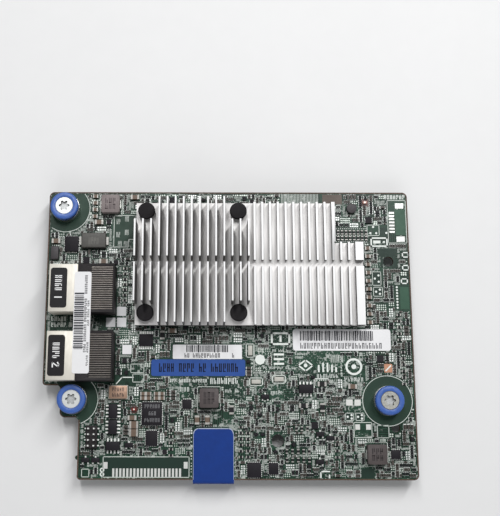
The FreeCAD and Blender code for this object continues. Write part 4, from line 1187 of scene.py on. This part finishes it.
class CARD_OT_large_parts(bpy.types.Operator):
    """Finish the inductors, chips, diode, oscillator, header and the other larger parts"""
    bl_idname = "card.large_parts"
    bl_label = "Larger parts"

    def execute(self, context):
        edge = sizes().soft_edge / MM
        coils = soft_copy("power_inductors", "ferrite", 0.2, "ferrite")
        add_finishes(coils, "ferrite_deep", pick=lambda face: board_mm(face.center)[0] > 40)
        for row in (("power_diode", "grey_mould", 0.15, "grey_moulding"),
                    ("oscillator_lid", "copper_lid", 0.12, "copper_lid"),
                    ("leaded_chips", "chip", 0.12, "chip_plastic"),
                    ("flat_chips", "chip", edge, "chip_plastic"),
                    ("transistors", "chip", edge, "chip_plastic"),
                    ("small_inductors", "dark_ferrite", 0.15, "ferrite"),
                    ("pin_header", "housing", edge, "connector_plastic"),
                    ("ceramic_filters", "white_ceramic", edge, "white_ceramic")):
            soft_copy(*row)
        paint("tin", "inductor_terminals")
        paint("dull_tin", "power_diode_leads", "capacitor_ends", "resistor_ends")
        paint("white_ceramic", "oscillator_base")
        paint("lead_tin", "chip_leads", "pin_header_pins")
        paint("tan", "ceramic_capacitors", "underside_capacitors")
        paint("dark_part", "chip_resistors")
        paint("pad_tin", "bare_pads")
        paint("chip", "underside_chips")
        paint("lamp_amber", "status_leds")
        add_finishes(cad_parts["status_leds"], "lamp_red", pick=lambda face: face.center.x < 0)
        pads = Stamp("lead_pads", "lead_tin")
        # a pad under each lead, then leadless pads round the flat chips
        for corners, (low, high) in zip(footprints("chip_leads", 0.1), islands("chip_leads")):
            if (high - low).length < LEAD_LENGTH * MM:
                pads.plate(*corners, 0.01, PAD)
        pitch, first, out = 0.65, 0.45, 0.12
        for x0, y0, x1, y1 in footprints("flat_chips"):
            for i in range(int((y1 - y0) / pitch)):
                for x in (x0 - out, x1 + out):
                    pads.pad(x, y0 + first + i * pitch, 0.4, 0.34, 0.0, PAD)
            for i in range(int((x1 - x0) / pitch)):
                for y in (y0 - out, y1 + out):
                    pads.pad(x0 + first + i * pitch, y, 0.34, 0.4, 0.0, PAD)
        pads.build("solder_tin")
        return {"FINISHED"}


class CARD_OT_small_parts(bpy.types.Operator):
    """Fill the free board with small parts, pads, vias and part numbers"""
    bl_idname = "card.small_parts"
    bl_label = "Small parts"

    def execute(self, context):
        Layout(sizes().seed).build()
        return {"FINISHED"}


class CARD_OT_print(bpy.types.Operator):
    """Print the outlines, circles and marks on the board"""
    bl_idname = "card.print"
    bl_label = "Legend print"

    def execute(self, context):
        rng, line = random.Random(3), sizes().print_line / MM
        marks = Stamp("legend_print", "print", "print_bold", "print_thin")
        plain = Stamp("plain_fields", *PLAIN_FIELDS, "lamp_red", "lamp_dot", "print_bold")
        slot_of = plain.finishes.index
        screw_fields(marks, plain, line, slot_of("mask_keepout"))
        for slot, (height, *fields) in enumerate(PLAIN_FIELDS.values()):
            for corners in fields:
                plain.plate(*corners, 0.0, height, slot)
        plain.ring(127.5, 79.3, 2.05, 0.3, 20, slot_of("mask_dark"))
        plain.path((125.1, 38.8, 126.8, 40.5), 0.5, slot_of("print_bold"), 0.06)
        plain.disc(33.5, 24.7, 1.45, 16, slot_of("lamp_glow"), 0.03)
        # a small near-white disc on each lamp's top: a painted highlight
        lamp_top = above_board(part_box("status_leds")[1][2])
        for x, y, radius in ((119.4, 102.0, 0.42), (33.5, 24.7, 0.3)):
            plain.disc(x, y, radius, 10, slot_of("lamp_dot"), lamp_top)

        for corners in OUTLINES:
            marks.frame(*corners, line)
        for name, gap, width in (("ceramic_filters", 0.6, 0.36), ("power_inductors", 0.65, line)):
            for corners in footprints(name, gap):
                marks.frame(*corners, width)
        for x0, y0, x1, y1 in EMPTY_PLACES:
            marks.frame(x0, y0, x1, y1, 0.2)
            for x, y in ((0.7, 0.7), (0.7, -0.7), (-0.7, 0.0)):
                marks.disc((x0 + x1) / 2 + x, (y0 + y1) / 2 + y * (y1 - y0) / 3.0, 0.42, 8, 1)
        marks.path((32.2, 96.9, 24.7, 96.9, 24.7, 84.7, 30.2, 84.7, 30.2, 87.6, 32.2, 87.6), line)
        for width, *corners in BOLD_OUTLINES:
            marks.frame(*corners, width, 1)
        for x, y in ((134.0, 81.9), (133.9, 77.0), (133.2, 71.9)):
            marks.frame(x - 1.1, y - 0.85, x + 1.1, y + 0.85, 0.45, 1)
        for width, *places in BOLD_LINES:
            marks.path(places, width, 1)
        for radius, sides, *places in BOLD_DOTS:
            for x, y in zip(places[::2], places[1::2]):
                marks.disc(x, y, radius, sides, 1)
        for x, y, radius, width, sides in ((22.5, 3.4, 0.62, 0.42, 10), (22.5, 1.9, 0.62, 0.42, 10),
                                           (113.4, 40.2, 2.7, 0.75, 28)):
            marks.ring(x, y, radius, width, sides, 1)
        for i in range(8):
            marks.disc(130.3, 61.9 + i * 1.1, 0.4, 8, 1)
        for i in range(15):
            for y in (86.9, 89.3, 91.9):
                marks.disc(108.4 + i * 0.8, y, 0.22, 6, 2)
        for count, x, low, high, step, width in ((7, 105.2, 41.8, 44.4, 0.7, 0.3),
                                                 (26, 87.9, 101.9, 105.2, 0.55, 0.26)):
            for i in range(count):
                marks.path((x + i * step, low, x + i * step, high), width, 2)
        for x, y in ((25.6, 88.5), (28.8, 89.4), (26.3, 85.0), (28.5, 85.0), (25.6, 93.6),
                     (28.8, 94.6)):
            dashes(marks, x, y, 3, 1.9, rng, 0.14, 0.5, slot=2)
        for x, y, count, height, width, pitch, *gaps in PRINTED_ROWS:
            dashes(marks, x, y, count, height, rng, width, pitch, *gaps, slot=1)
        marks.build("white_label")
        plain.build("laminate")

        chips = Stamp("package_marks", "chip_mark", "ferrite_mark", "grey_mark", "ferrite_print")
        height = top_of("flat_chips", 40)
        for x, y, count in ((37.4, 25.2, 6), (38.9, 22.7, 3), (37.4, 20.3, 6)):
            dashes(chips, x, y, count, 1.2, rng, 0.22, 0.95, z=height)
        for x, y, slot in ((23.4, 100.8, 3), (60.6, 28.7, 1), (120.4, 9.0, 1)):
            height = top_of("power_inductors", x)
            for row in (0.3, -2.0):
                dashes(chips, x - 1.95, y + row, 3, 1.65, rng, 0.38, 1.42, (), slot, z=height)
        height = top_of("oscillator_lid", 28)
        for y in (31.2, 29.2):
            dashes(chips, 25.6, y, 5, 1.2, rng, 0.2, 0.9, (), 1, z=height)
        dashes(chips, 15.6, 85.3, 4, 2.6, rng, 0.22, 1.0, (), 2, z=top_of("power_diode", 17))
        chips.build("chip_plastic")
        return {"FINISHED"}


STEPS = (CARD_OT_stage, CARD_OT_board, CARD_OT_heat_sink, CARD_OT_screws, CARD_OT_ports,
         CARD_OT_labels, CARD_OT_large_parts, CARD_OT_small_parts, CARD_OT_print)


class CARD_PT_panel(bpy.types.Panel):
    """Lists the steps and the settings"""
    bl_idname = "CARD_PT_panel"
    bl_label = "Controller card"
    bl_space_type = "VIEW_3D"
    bl_region_type = "UI"
    bl_category = "Card"

    def draw(self, context):
        for settings in (context.scene.card_sizes, context.scene.card_colors):
            for name in settings.__annotations__:
                self.layout.prop(settings, name)
        for step in STEPS:
            self.layout.operator(step.bl_idname)


CLASSES = (CardSizes, CardColors, *STEPS, CARD_PT_panel)


def register():
    for cls in CLASSES:
        bpy.utils.register_class(cls)
    bpy.types.Scene.card_sizes = bpy.props.PointerProperty(type=CardSizes)
    bpy.types.Scene.card_colors = bpy.props.PointerProperty(type=CardColors)


def unregister():
    del bpy.types.Scene.card_colors
    del bpy.types.Scene.card_sizes
    for cls in reversed(CLASSES):
        bpy.utils.unregister_class(cls)


def main():
    register()
    for step in STEPS:
        group, action = step.bl_idname.split(".")
        getattr(getattr(bpy.ops, group), action)()


if __name__ == "__main__":
    main()
